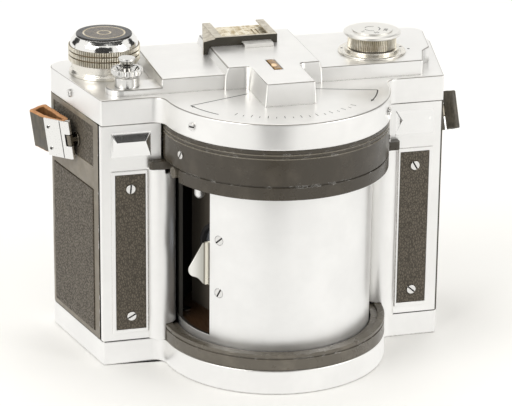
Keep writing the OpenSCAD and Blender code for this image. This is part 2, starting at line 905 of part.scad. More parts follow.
module dial_flange() {
    color("silver") translate([dial_x, dial_y, z_upper]) difference() {
        union() {
            cylinder(h = dial_plate_h - dial_edge, r = dial_plate_r);
            translate([0, 0, dial_plate_h - dial_edge])
                cylinder(h = dial_edge, r1 = dial_plate_r, r2 = dial_plate_r - dial_edge);
            cylinder(h = dial_flange_h, r = dial_ring_r);
        }
        translate([0, 0, -over]) cylinder(h = dial_flange_h + 2 * over, r = dial_shaft_r + fit);
    }
}

scallops = 14;
scallop_r = 0.9;
release_collar_r = 4.9;
release_crown_r = 6.2;
crown_h = 3.6;
crown_rim = 0.7;
release_bore = release_head_r + swing_gap;

module release_collar() {
    neck_h = release_collar_h - crown_h;
    mouth_r = release_crown_r - scallop_r / 2 - crown_rim;
    color("silver") translate([-release_x, release_y, z_boss]) difference() {
        union() {
            cylinder(h = neck_h, r = release_collar_r);
            translate([0, 0, neck_h]) cylinder(h = crown_h / 2, r1 = release_collar_r, r2 = release_crown_r);
            translate([0, 0, neck_h + crown_h / 2]) cylinder(h = crown_h / 2, r = release_crown_r);
        }
        for (i = [0 : scallops - 1]) rotate(i * 360 / scallops)
            translate([release_crown_r + scallop_r / 2, 0, neck_h])
                cylinder(h = crown_h + over, r = scallop_r);
        translate([0, 0, -over]) cylinder(h = release_collar_h + 2 * over, r = rod_r + fit);
        translate([0, 0, spring_seat]) cylinder(h = release_collar_h, r = release_bore);
        translate([0, 0, release_collar_h - crown_h / 2])
            cylinder(h = crown_h / 2 + fit, r1 = release_bore, r2 = mouth_r);
    }
}

// Rings round the drum

module ring_half(extra = 0) {
    intersection() {
        children();
        translate([-front_w, -front_w, 0]) cube([2 * front_w, front_w + extra, z_deck]);
    }
}

module ring_groove(z) {
    translate([0, 0, z]) difference() {
        cylinder(h = ring_groove_h, r = ring_r + over);
        translate([0, 0, -over]) cylinder(h = ring_groove_h + 2 * over, r = ring_r - ring_groove_d);
    }
}

ring_wall = 2;

module ear_plan() {
    x0 = ring_r - over - ear_t;
    x1 = ring_r + ear_out;
    translate([x0, -ear_t]) square([x1 - ear_r - x0, ear_t]);
    translate([x0, -ear_t + ear_r]) square([x1 - x0, ear_t - ear_r]);
    translate([x1 - ear_r, -ear_t + ear_r]) circle(ear_r);
}

module upper_ring() {
    band_z = z_ring + ring_lip_h;
    tongue_r = bulge_r - cover_t - gap;
    color("#201f1e") difference() {
        union() {
            ring_half(ring_back) difference() {
                union() {
                    translate([0, 0, z_ring]) cylinder(h = z_wall - z_ring, r = ring_in + ring_wall);
                    translate([0, 0, band_z]) cylinder(h = z_wall - band_z, r = ring_r);
                }
                translate([0, 0, z_ring - over]) cylinder(h = z_wall - z_ring + 2 * over, r = ring_in);
            }
            arc_wall(ring_in, ring_r, z_ring, ring_lip_h + over, -ring_lip_end, ring_lip_end);
            arc_wall(tongue_r - ring_tongue_t, tongue_r, z_wall - over, ring_tongue_h + over,
                -ring_screw_az, ring_screw_az);
            for (s = [-1, 1]) on_hand(s) translate([0, 0, z_pillar]) linear_extrude(ear_h) ear_plan();
        }
        translate([0, 0, z_ring - over]) cylinder(h = z_wall, r = ring_in);
        for (z = [band_z - ring_groove_h / 2, z_wall - 3.5, z_wall - 1.9]) ring_groove(z);
        ring_screw_places() screw_hole(ring_r - ring_in + over);
        cover_screw_places() screw_hole(3 * cover_t);
        for (s = [-1, 1]) on_hand(s) translate([pillar_x, pillar_y, z_ring - over])
            cylinder(h = z_pillar - z_ring + over, r = pillar_r + gap);
        stop_places() translate([0, 0, -over]) cylinder(h = ring_r, r = stop_r / 2 + fit);
    }
}

module lower_ring() {
    color("#201f1e") ring_half() difference() {
        translate([0, 0, base_h]) cylinder(h = low_ring_h, r = ring_r);
        translate([0, 0, base_h - over]) cylinder(h = low_ring_h + 2 * over, r = ring_in);
        translate([0, 0, base_h + low_ring_h - 1]) cylinder(h = 2, r = (ring_r + ring_in) / 2);
        ring_groove(base_h + low_ring_h - 2);
    }
}

module ring_screws() {
    color("silver") ring_screw_places()
        slotted_screw(ring_r - ring_in + gap + lug_block - 1, small_head_r, head_h / 2);
}

module stop_places() {
    for (s = [-1, 1]) on_azimuth(s * stop_az, ring_in) translate([0, 0, z_ring + ring_lip_h / 2])
        rotate([0, 90, 0]) children();
}

module ring_stops() {
    color("#2a2928") stop_places() {
        translate([0, 0, ring_wall]) cylinder(h = ring_r - ring_in - ring_wall, r = stop_r);
        cylinder(h = ring_wall + over / 2, r = stop_r / 2);
    }
}

// Drum

module drum_shell() {
    color("whitesmoke") difference() {
        translate([0, 0, drum_z0]) cylinder(h = drum_z1 - drum_z0, r = drum_r);
        translate([0, 0, drum_z0 - over]) cylinder(h = drum_z1 - drum_z0 + 2 * over, r = drum_r - shell_t);
        arc_wall(drum_r - 3 * shell_t, drum_r + over, window_z0, window_z1 - window_z0,
            window_edge - window_span, window_edge);
        on_azimuth(lens_az + 180) translate([drum_r - 3 * shell_t, -slit_w / 2, z_lens - picture_half])
            cube([4 * shell_t, slit_w, 2 * picture_half]);
        shell_screw_places() {
            screw_hole(3 * shell_t);
            cylinder(h = 2 * head_h, r = head_r + gap);
        }
    }
}

module drum_base() {
    color("peru") {
        translate([0, 0, drum_z0]) cylinder(h = disc_t, r = disc_r);
        translate([0, 0, bush_h + 2]) cylinder(h = drum_z0 - bush_h - 2, r = pivot_r);
    }
}

gear_seat = 3;

module drum_top() {
    color("dimgray") {
        translate([0, 0, drum_z1 - disc_t]) cylinder(h = disc_t, r = disc_r);
        translate([0, 0, drum_z1]) cylinder(h = z_gear + gear_h + gear_seat - drum_z1, r = pivot_r);
    }
}

// Frame of the lens: X runs along the lens axis, out of the window
module on_lens() {
    on_azimuth(lens_az) translate([0, 0, z_lens]) children();
}

board_half = 25;
board_h = drum_z1 - drum_z0 - 2 * disc_t;

module lens_board() {
    color("black") on_lens() difference() {
        translate([board_u, -board_half, -board_h / 2]) cube([board_t, 2 * board_half, board_h]);
        translate([board_u - over, 0, 0]) rotate([0, 90, 0])
            cylinder(h = board_t + 2 * over, r = lens_r + fit);
    }
}

glass_t = 3;
barrel_flange = 1.5;

module lens_barrel() {
    color("#151515") on_lens() rotate([0, 90, 0]) difference() {
        union() {
            translate([0, 0, barrel_back]) cylinder(h = barrel_front - barrel_back, r = lens_r);
            translate([0, 0, board_u + board_t]) cylinder(h = barrel_flange, r = lens_r + barrel_flange);
        }
        translate([0, 0, barrel_back - over]) cylinder(h = barrel_front, r = lens_r - barrel_wall - 1);
        translate([0, 0, barrel_front - glass_t - 1]) cylinder(h = glass_t + 2, r = lens_r - barrel_wall);
        translate([0, 0, barrel_back - over]) cylinder(h = glass_t + over, r = lens_r - barrel_wall);
    }
}

module lens_element() {
    r = lens_r - barrel_wall - fit;
    bulge = 1.2;
    dome_r = (r * r + bulge * bulge) / (2 * bulge);
    rotate_extrude() intersection() {
        square([r, glass_t]);
        translate([0, glass_t - dome_r]) circle(dome_r, $fn = 256);
    }
}

module lens_elements() {
    color("lightsteelblue") on_lens() rotate([0, 90, 0]) {
        translate([0, 0, barrel_front - glass_t - 1]) lens_element();
        translate([0, 0, barrel_back + glass_t]) mirror([0, 0, 1]) lens_element();
    }
}

tunnel_t = 1.2;
tunnel_clear = 4.5;
tunnel_front = lens_r + tunnel_clear;

module light_tunnel() {
    back = disc_r - gap;
    near_w = slit_w / 2 + tunnel_t;
    color("#181818") on_lens() translate([0, 0, -board_h / 2]) linear_extrude(board_h) difference() {
        polygon([
            [board_u - gap, -tunnel_front], [board_u - gap, tunnel_front], [-back, near_w], [-back, -near_w]
        ]);
        polygon([
            [board_u + over, -tunnel_front + tunnel_t], [board_u + over, tunnel_front - tunnel_t],
            [-back - over, slit_w / 2], [-back - over, -slit_w / 2]
        ]);
    }
}

tab_root = drum_r - shell_t - tab_t - gap;
tab_tip_r = 3.1;

// Outline of the tab: it stands out of the window's edge and its tip hangs below the middle
module tab_plan(root, reach) {
    tip = reach - tab_tip_r;
    polygon([
        [0, -tab_half], [root, -tab_half], [root + 0.9, -tab_half + 0.6], [root + 2.9, -tab_half + 3.1],
        [tip + 0.6, -tab_drop - 0.98 * tab_tip_r], [tip + 0.78 * tab_tip_r, -tab_drop + 0.62 * tab_tip_r],
        [root + 1, tab_half - 0.4], [root, tab_half], [0, tab_half]
    ]);
    translate([tip, -tab_drop]) circle(tab_tip_r);
}

module finger_tab() {
    reach = tab_l + drum_r - tab_root;
    color("whitesmoke") difference() {
        union() {
            arc_wall(tab_root, tab_root + tab_t, z_lens - 1.6 * tab_half, 3.2 * tab_half,
                tab_az - 0.8, shell_screw_az + 4);
            on_azimuth(tab_az, tab_root + tab_t / 2) rotate(-tab_tilt) translate([0, tab_t / 2, z_lens])
                rotate([90, 0, 0]) linear_extrude(tab_t) tab_plan(reach - tab_l, reach);
        }
        shell_screw_places() screw_hole(4 * shell_t);
    }
}

floor_screw = [-16, 31];

module shell_screws() {
    color("silver") {
        shell_screw_places() slotted_screw(shell_t + tab_t, head_r, head_h - gap);
        on_azimuth(lens_az) translate([floor_screw[1], floor_screw[0], drum_z0 + disc_t])
            cylinder(h = 1.5 * head_h, r = head_r);
    }
}

module drum_gear() {
    color("darkgoldenrod") translate([0, 0, z_gear]) linear_extrude(gear_h) difference() {
        gear_plan(drum_teeth);
        circle(pivot_r + fit);
    }
}

barrel_h = 11;
barrel_wall_r = gear_m * barrel_teeth / 2 - 2 * gear_m;

module spring_barrel() {
    color("darkgoldenrod") translate([0, barrel_y, z_gear]) difference() {
        union() {
            linear_extrude(gear_h) gear_plan(barrel_teeth, 90 + 180 / barrel_teeth);
            cylinder(h = barrel_h, r = barrel_wall_r);
        }
        translate([0, 0, -over]) cylinder(h = barrel_h + 2 * over, r = stud_r + fit);
        translate([0, 0, gear_h]) difference() {
            cylinder(h = barrel_h - 2 * gear_h / 2, r = barrel_wall_r - 1);
            translate([0, 0, -over]) cylinder(h = barrel_h + over, r = stud_r + 2);
        }
    }
}

governor_h = 8;
governor_stud_r = 1.5;
flywheel_r = 9;

module governor_wheel() {
    color("darkgoldenrod") on_azimuth(governor_az, governor_d) translate([0, 0, z_gear]) difference() {
        union() {
            linear_extrude(gear_h) gear_plan(governor_teeth, 180 + 180 / governor_teeth + governor_phase);
            cylinder(h = governor_h, r = gear_m * governor_teeth / 2 - 2);
            translate([0, 0, governor_h - gear_h]) cylinder(h = gear_h, r = flywheel_r);
        }
        translate([0, 0, -over]) cylinder(h = governor_h + 2 * over, r = governor_stud_r + fit);
    }
}

// Turn of the governor's pinion that puts its teeth between those of the drum gear
drum_step = 360 / drum_teeth;
governor_turn = (governor_az - 90) / drum_step;
governor_phase = (governor_turn - round(governor_turn)) * 360 / governor_teeth;

// Winding knob and spools

knob_z = z_deck + collar_h + swing_gap;
knob_top = knob_z + knob_knurl_h + knob_bevel_h;
disc_seat = 0.8;
knob_roof = 2;
shaft_top = knob_top - disc_seat - knob_roof - gap;
knob_face_r = knob_r - 2.6;
knob_mid_r = knob_r - 1.1;
knob_knurls = 90;
knurl_d = 0.5;
knob_groove_r = knob_r - knurl_d - 0.15;

module winding_knob() {
    color("silver") translate([-spool_x, spool_y, 0]) difference() {
        union() {
            translate([0, 0, knob_z]) linear_extrude(knob_knurl_h) knurl_plan(knob_r, knob_knurls, knurl_d);
            translate([0, 0, knob_z + knob_knurl_h]) {
                cylinder(h = knob_bevel_h / 2, r1 = knob_groove_r, r2 = knob_mid_r);
                translate([0, 0, knob_bevel_h / 2])
                    cylinder(h = knob_bevel_h / 2, r1 = knob_mid_r, r2 = knob_face_r);
            }
        }
        for (i = [1, 2]) translate([0, 0, knob_z + i * knob_knurl_h / 3]) difference() {
            cylinder(h = knurl_d, r = knob_r + over);
            translate([0, 0, -over]) cylinder(h = knurl_d + 2 * over, r = knob_groove_r);
        }
        translate([0, 0, knob_z - over]) cylinder(h = shaft_top + gap - knob_z + over, r = shaft_r + fit);
        translate([0, 0, knob_top - disc_seat]) cylinder(h = disc_seat + over, r = knob_face_r - 0.6);
    }
}

module knob_disc() {
    color("#161616") translate([-spool_x, spool_y, knob_top - disc_seat]) difference() {
        cylinder(h = disc_seat + 0.5, r = knob_face_r - 0.6 - fit);
        for (r = [2.6, 8.2]) translate([0, 0, disc_seat + 0.2]) difference() {
            cylinder(h = over, r = r + 0.3);
            translate([0, 0, -over]) cylinder(h = 3 * over, r = r - 0.3);
        }
    }
}

spool_z0 = z_lens - spool_l / 2;
spool_z1 = z_lens + spool_l / 2;
spool_core = 6;
spool_flange = 1.2;
key_h = 5;
key_w = 1.6;
film_slot = 0.8;
spool_bore = 8;
film_slot_l = spool_l - 5.5;

module wind_shaft() {
    key_half = spool_core - 1.2;
    color("silver") translate([-spool_x, spool_y, 0]) {
        translate([0, 0, spool_z1 + gap]) cylinder(h = shaft_top - spool_z1 - gap, r = shaft_r);
        translate([0, 0, spool_z1 - key_h]) cylinder(h = key_h + over, r = stud_r);
        translate([-key_half, -key_w / 2, spool_z1 - key_h]) cube([2 * key_half, key_w, key_h + 2 * gap]);
    }
}

module spool(keyed) {
    difference() {
        union() {
            translate([0, 0, spool_z0]) cylinder(h = spool_l, r = spool_core);
            for (z = [spool_z0, spool_z1 - spool_flange]) translate([0, 0, z])
                cylinder(h = spool_flange, r = spool_r);
        }
        for (z = [spool_z0 - over, spool_z1 - spool_bore]) translate([0, 0, z])
            cylinder(h = spool_bore + over, r = stud_r + fit);
        if (keyed) translate([-spool_core + 1, -key_w / 2 - fit, spool_z1 - key_h - gap])
            cube([2 * spool_core - 2, key_w + 2 * fit, key_h + 2 * over]);
        translate([-spool_core - over, -film_slot / 2, z_lens - film_slot_l / 2])
            cube([2 * (spool_core + over), film_slot, film_slot_l]);
    }
}

module takeup_spool() {
    color("#3a3a3a") translate([-spool_x, spool_y, 0]) spool(true);
}

module supply_spool() {
    color("#3a3a3a") translate([spool_x, spool_y, 0]) spool(false);
}

module film_roller(side) {
    translate([side * roller_x, roller_y, 0]) {
        translate([0, 0, z_low + swing_gap]) cylinder(h = chamber_h - 2 * swing_gap, r = roller_r);
        translate([0, 0, base_h + gap]) cylinder(h = chamber_h + 2 * plate_t - 2 * gap, r = axle_r);
    }
}

module film_roller_left() {
    color("silver") film_roller(-1);
}

module film_roller_right() {
    color("silver") film_roller(1);
}

// Speed dial

dial_z = z_upper + dial_flange_h + swing_gap;
dial_neck_h = 5;
dial_neck_r = dial_r - 1.7;
dial_cap_h = 1.6;
dial_face_r = dial_r - 3.4;
dial_face_h = 0.5;
cam_r = 6;
cam_h = 2;

module speed_dial() {
    color("silver") translate([dial_x, dial_y, 0]) {
        translate([0, 0, dial_z]) linear_extrude(dial_neck_h) knurl_plan(dial_neck_r, 72, knurl_d);
        translate([0, 0, z_mech + 8]) cylinder(h = dial_z - z_mech - 8 + over, r = dial_shaft_r);
        translate([0, 0, z_mech + 8]) difference() {
            cylinder(h = cam_h, r = cam_r);
            translate([cam_r, 0, -over]) cylinder(h = cam_h + 2 * over, r = cam_r / 2);
        }
    }
}

module dial_cap() {
    color("gainsboro") translate([dial_x, dial_y, dial_z + dial_neck_h]) {
        cylinder(h = dial_edge, r1 = dial_r - dial_edge, r2 = dial_r);
        translate([0, 0, dial_edge]) cylinder(h = dial_cap_h - 2 * dial_edge, r = dial_r);
        translate([0, 0, dial_cap_h - dial_edge])
            cylinder(h = dial_edge, r1 = dial_r, r2 = dial_r - 2 * dial_edge);
        cylinder(h = dial_cap_h + dial_face_h, r = dial_face_r);
    }
}

// Release

release_lift = release_travel + swing_gap;
release_top = z_collar + 4.2;
release_rim_h = 0.9;
release_cone_h = 3;
washer_z = z_collar - 1.2;
washer_h = 0.6;
catch_z = z_gear + gear_h + swing_gap + gap;
catch_h = 1.6;
catch_w = 5;
catch_end = gear_m * drum_teeth / 2 + 2 * gear_m;

module release_button() {
    cone_z = release_top - release_rim_h - release_cone_h;
    color("silver") {
        translate([-release_x, release_y, 0]) {
            translate([0, 0, catch_z]) cylinder(h = cone_z - catch_z + over, r = rod_r);
            translate([0, 0, washer_z]) cylinder(h = washer_h, r = release_head_r - gap);
            translate([0, 0, cone_z]) cylinder(h = release_cone_h, r1 = rod_r, r2 = release_head_r - 0.2);
            translate([0, 0, release_top - release_rim_h]) cylinder(h = release_rim_h, r = release_head_r);
        }
        translate([-release_x, release_y - catch_w / 2, catch_z])
            cube([release_x - catch_end, catch_w, catch_h]);
    }
}

// Helix of round wire as one closed tube
spring_turns = 4;
spring_rings = 8;
spring_sides = 6;
spring_wire = 0.22;
spring_r = (rod_r + release_head_r) / 2;
spring_z0 = z_boss + spring_seat + spring_wire + gap;
spring_z1 = washer_z - spring_wire - gap;
spring_steps = spring_turns * spring_rings;

function spring_point(i, j) = let (
    a = 360 * i / spring_rings, b = 360 * j / spring_sides, r = spring_r + spring_wire * cos(b))
    [r * cos(a), r * sin(a), spring_z0 + (spring_z1 - spring_z0) * i / spring_steps + spring_wire * sin(b)];

module release_spring() {
    points = [for (i = [0 : spring_steps], j = [0 : spring_sides - 1]) spring_point(i, j)];
    walls = [for (i = [0 : spring_steps - 1], j = [0 : spring_sides - 1], k = [0, 1]) let (
        a = i * spring_sides + j, b = i * spring_sides + (j + 1) % spring_sides)
        k == 0 ? [a, a + spring_sides, b] : [b, a + spring_sides, b + spring_sides]];
    last = spring_steps * spring_sides;
    caps = [for (j = [1 : spring_sides - 2], k = [0, 1])
        k == 0 ? [0, j, j + 1] : [last, last + j + 1, last + j]];
    color("silver") translate([-release_x, release_y, 0])
        polyhedron(points, concat(walls, caps), convexity = 10);
}

// Back door

door_z0 = base_h + swing_gap;
door_z1 = z_wall - swing_gap;
latch_w = 7;
latch_h = 18;
latch_t = 1.2;
latch_travel = 5;
latch_x = 4 - door_half;
guide_t = 1.5;
guide_h = latch_h + latch_travel + 4;

module back_door() {
    mid0 = hinge_z0 + knuckle_l + swing_gap;
    mid1 = hinge_z1 - knuckle_l - swing_gap;
    color("#1c1b1a") {
        difference() {
            union() {
                translate([-door_half, body_d - side_t, door_z0])
                    cube([2 * door_half, side_t, door_z1 - door_z0]);
                for (x = [latch_x - guide_t - fit, latch_x + latch_w + fit])
                    translate([x, body_d - over, z_lens - guide_h / 2])
                        cube([guide_t, latch_t + over, guide_h]);
            }
            hinge_cut(hinge_z0 - swing_gap, hinge_z1 + swing_gap);
        }
        knuckle(mid0, mid1);
        hinge_leaf(hinge_x - hinge_r - over, hinge_x - hinge_pin_r - over / 2, body_d - side_t / 2,
            mid0, mid1);
    }
}

module door_latch() {
    color("silver") translate([latch_x, body_d, z_lens - guide_h / 2]) difference() {
        union() {
            cube([latch_w, latch_t, latch_h]);
            translate([over, 0, latch_h / 4]) cube([latch_w - 2 * over, 2 * latch_t, latch_h / 2]);
        }
        for (i = [0 : 2]) translate([0, 1.6 * latch_t, latch_h * (5 + 2.5 * i) / 16])
            cube([latch_w, latch_t, 1]);
    }
}

module back_leather() {
    x0 = latch_x + latch_w + 3 * guide_t;
    x1 = hinge_x - 3 * hinge_r;
    color("#2b2724") translate([x0, body_d, door_z0 + 4]) cube([x1 - x0, leather_t, door_z1 - door_z0 - 8]);
}

module hinge_pin() {
    color("silver") translate([hinge_x, hinge_y, hinge_z0])
        cylinder(h = hinge_z1 - hinge_z0, r = hinge_pin_r);
}

// Straps

// Frame of a strap: the origin is in the lug's eye, Z along the eye, X out of the side, Y to the rear
module on_strap(side) {
    lean = side < 0 ? left_lean : -right_lean;
    droop = side < 0 ? 0 : right_droop;
    on_side(side) translate([lug_out, lug_u, lug_z]) rotate([-droop, lean, 0]) children();
}

clip_h = strap_h + 0.6;

// Lug with a base on the side, an eye and a pin through the eye that carries the clip
module strap_lug(side) {
    color("silver") {
        on_side(side) translate([-pocket_d, lug_u, lug_z]) rotate([0, 90, 0])
            cylinder(h = pocket_d + lug_base_h, r = lug_base_r);
        on_side(side) translate([-side_t, lug_u, lug_z]) rotate([0, 90, 0])
            cylinder(h = side_t + lug_out, r = lug_r);
        on_strap(side) {
            translate([0, 0, -eye_h / 2]) cylinder(h = eye_h, r = eye_r);
            translate([0, 0, -clip_h / 2]) cylinder(h = clip_h, r = wire_r);
        }
    }
}

module strap_lug_left() {
    strap_lug(-1);
}

module strap_lug_right() {
    strap_lug(1);
}

left_spread = 25.5;
right_spread = 0;
rivet_r = 0.7;
rivet_h = 0.35;
rivet_z = 4.6;

// Frame of a clip: X runs along it away from the eye, and the leather lies on its +Y side
module on_clip(side) {
    spread = side < 0 ? left_spread : right_spread;
    on_strap(side) rotate(90 - spread) mirror([0, side < 0 ? 0 : 1, 0]) children();
}

// Clip of sheet that is rolled round the pin above and below the lug's eye
module strap_buckle(side) {
    notch = eye_r + swing_gap;
    color("silver") on_clip(side) {
        difference() {
            translate([0, 0, -clip_h / 2]) linear_extrude(clip_h) difference() {
                union() {
                    circle(eye_r);
                    translate([0, -eye_r]) square([clip_l, clip_t]);
                }
                circle(wire_r + fit);
            }
            translate([-notch, -2 * notch, -eye_h / 2 - swing_gap])
                cube([2 * notch, 4 * notch, eye_h + 2 * swing_gap]);
        }
        for (z = [-rivet_z, rivet_z]) translate([clip_l - 3 * rivet_r, -eye_r + clip_t / 2, z])
            rotate([90, 0, 0]) cylinder(h = clip_t / 2 + rivet_h, r = rivet_r);
    }
}

module strap_buckle_left() {
    strap_buckle(-1);
}

module strap_buckle_right() {
    strap_buckle(1);
}

// Closed loop of leather that starts on the clip and runs through further bends
bend_r = strap_t + 0.2;
clip_start = eye_r + swing_gap + bend_r + gap;
leaf_lift = bend_r - eye_r + clip_t + gap;
left_bends = [[4.9, strap_l], [0.8, strap_l + 0.7]];
right_bends = [[bend_r - eye_r + clip_t + gap, strap_l], [4.7, strap_l], [4.7, 3]];

module strap_corners(side, r) {
    on_clip(side) for (x = [clip_start, clip_l - strap_t]) translate([x, leaf_lift, 0]) strap_post(r);
    on_strap(side) for (p = side < 0 ? left_bends : right_bends) translate([p[0], p[1], 0]) strap_post(r);
}

module strap_post(r) {
    h = strap_h + (r < bend_r ? 2 * over : 0);
    translate([0, 0, -h / 2]) cylinder(h = h, r = r, $fn = 24);
}

module strap(side) {
    color("#4a2f1d") difference() {
        hull() strap_corners(side, bend_r);
        hull() strap_corners(side, bend_r - strap_t);
    }
}

module strap_left() {
    strap(-1);
}

module strap_right() {
    strap(1);
}

base_cover();
tripod_bush();
lower_plate();
upper_plate();
drum_bearings();
film_gate();
front_panel_left();
front_panel_right();
front_leather_left();
front_leather_right();
panel_screws();
side_wall_left();
side_wall_right();
side_leather_left();
side_leather_right();
top_cover();
case_screws();
level_vial();
upper_ring();
lower_ring();
ring_screws();
ring_stops();
accessory_shoe();
shoe_plate();
wind_collar();
dial_flange();
release_collar();
strap_lug_left();
strap_lug_right();
drum_shell();
drum_base();
drum_top();
lens_board();
lens_barrel();
lens_elements();
light_tunnel();
finger_tab();
shell_screws();
drum_gear();
spring_barrel();
governor_wheel();
winding_knob();
knob_disc();
wind_shaft();
takeup_spool();
supply_spool();
film_roller_left();
film_roller_right();
speed_dial();
dial_cap();
release_button();
release_spring();
back_door();
door_latch();
back_leather();
hinge_pin();
strap_buckle_left();
strap_buckle_right();
strap_left();
strap_right();
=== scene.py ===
"""Looks of a swing-lens panoramic camera: finishes, engraved marks, strap loops and studio."""

import json
import math

import bmesh
import bpy
from mathutils import Matrix, Vector


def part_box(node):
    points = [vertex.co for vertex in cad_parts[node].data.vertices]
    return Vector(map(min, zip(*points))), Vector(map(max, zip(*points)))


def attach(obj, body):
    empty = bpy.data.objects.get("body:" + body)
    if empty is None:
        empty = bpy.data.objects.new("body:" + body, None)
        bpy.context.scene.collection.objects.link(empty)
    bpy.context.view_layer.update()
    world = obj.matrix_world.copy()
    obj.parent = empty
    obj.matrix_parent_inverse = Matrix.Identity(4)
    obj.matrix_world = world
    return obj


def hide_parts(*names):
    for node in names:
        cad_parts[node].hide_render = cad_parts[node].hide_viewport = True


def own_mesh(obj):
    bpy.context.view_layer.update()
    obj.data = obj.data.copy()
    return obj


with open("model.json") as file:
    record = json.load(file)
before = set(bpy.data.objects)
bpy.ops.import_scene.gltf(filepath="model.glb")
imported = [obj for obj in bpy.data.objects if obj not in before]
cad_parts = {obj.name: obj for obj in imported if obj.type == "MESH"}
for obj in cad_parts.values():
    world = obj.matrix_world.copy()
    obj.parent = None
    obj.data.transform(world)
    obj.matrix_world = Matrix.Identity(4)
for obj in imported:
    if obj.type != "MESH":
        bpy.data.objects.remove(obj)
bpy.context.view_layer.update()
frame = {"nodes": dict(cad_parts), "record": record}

MM = 0.001

# Sizes repeated from the part's source, in millimetres, with angles turned into radians
FRONT_W = 140.0
FLARE = math.radians(12.0)
Z_DECK = 111.3
Z_UPPER = 117.3
DRUM_R = 38.9
BULGE_ARC_R = 40.0
# A strap lug's place on its side wall: outwards, backwards along the wall, and up
LUG = (2.8, 23.9, 88.6)
# Strap loops: how far each leans, droops and has its clip spread, by side
STRAP_LEAN = {-1: math.radians(8.0), 1: math.radians(-7.0)}
STRAP_DROOP = {-1: 0.0, 1: math.radians(20.0)}
STRAP_SPREAD = {-1: math.radians(25.5), 1: 0.0}
STRAP_H = 15.5
STRAP_T = 1.8
# Radius of a loop's bends, and their middles: in the clip, and at the far end by side
BEND_R = 2.0
CLIP_CORNERS = ((3.6, 1.5), (9.8, 1.5))
FAR_CORNERS = {-1: ((4.9, 21.8), (0.8, 22.5)), 1: ((1.5, 21.8), (4.7, 21.8), (4.7, 3.0))}

# The part's two sides: the sign of X there, and the word for it in the names of pieces
SIDES = ((-1, "left"), (1, "right"))

BODY_OF = {node: body for body, nodes in frame["record"]["behaviour"]["bodies"].items() for node in nodes}


def middle(node):
    """Centre of a node's box, in metres."""
    low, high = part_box(node)
    return (Vector(low) + Vector(high)) / 2


def top_of(node):
    """Height of a node's highest point, in millimetres."""
    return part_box(node)[1][2] / MM


# Node trees

# Samples of the nodes that look for edges and hollows
EDGE_SAMPLES = 4


class Graph:
    """A node tree, with short calls for the nodes that are used here."""

    def __init__(self, tree):
        self.tree = tree

    def put(self, socket, value):
        """Links a socket to an output, or sets it to a value."""
        if isinstance(value, bpy.types.NodeSocket):
            self.tree.links.new(value, socket)
        else:
            socket.default_value = value

    def add(self, kind, **inputs):
        node = self.tree.nodes.new(kind)
        for name, value in inputs.items():
            self.put(node.inputs[name], value)
        return node

    def math(self, operation, a, b=0.0):
        node = self.add("ShaderNodeMath")
        node.operation = operation
        self.put(node.inputs[0], a)
        self.put(node.inputs[1], b)
        return node.outputs[0]

    def times(self, a, b):
        return self.math("MULTIPLY", a, b)

    def vector(self, operation, a, b=(0.0, 0.0, 0.0)):
        node = self.add("ShaderNodeVectorMath")
        node.operation = operation
        self.put(node.inputs[0], a)
        self.put(node.inputs[1], b)
        return node

    def span(self, value, low, high, to_low=0.0, to_high=1.0):
        """A soft step from to_low where the value is low to to_high where it is high."""
        node = self.add("ShaderNodeMapRange")
        node.interpolation_type = "SMOOTHSTEP"
        for socket, number in zip(list(node.inputs)[:5], (value, low, high, to_low, to_high)):
            self.put(socket, number)
        return node.outputs["Result"]

    def blend(self, factor, a, b):
        """Colour a where the factor is 0, and b where it is 1."""
        node = self.add("ShaderNodeMix")
        node.data_type = "RGBA"
        self.put(node.inputs[0], factor)
        for socket, color in ((node.inputs[6], a), (node.inputs[7], b)):
            self.put(socket, color if isinstance(color, bpy.types.NodeSocket) else (*color, 1.0))
        return node.outputs[2]


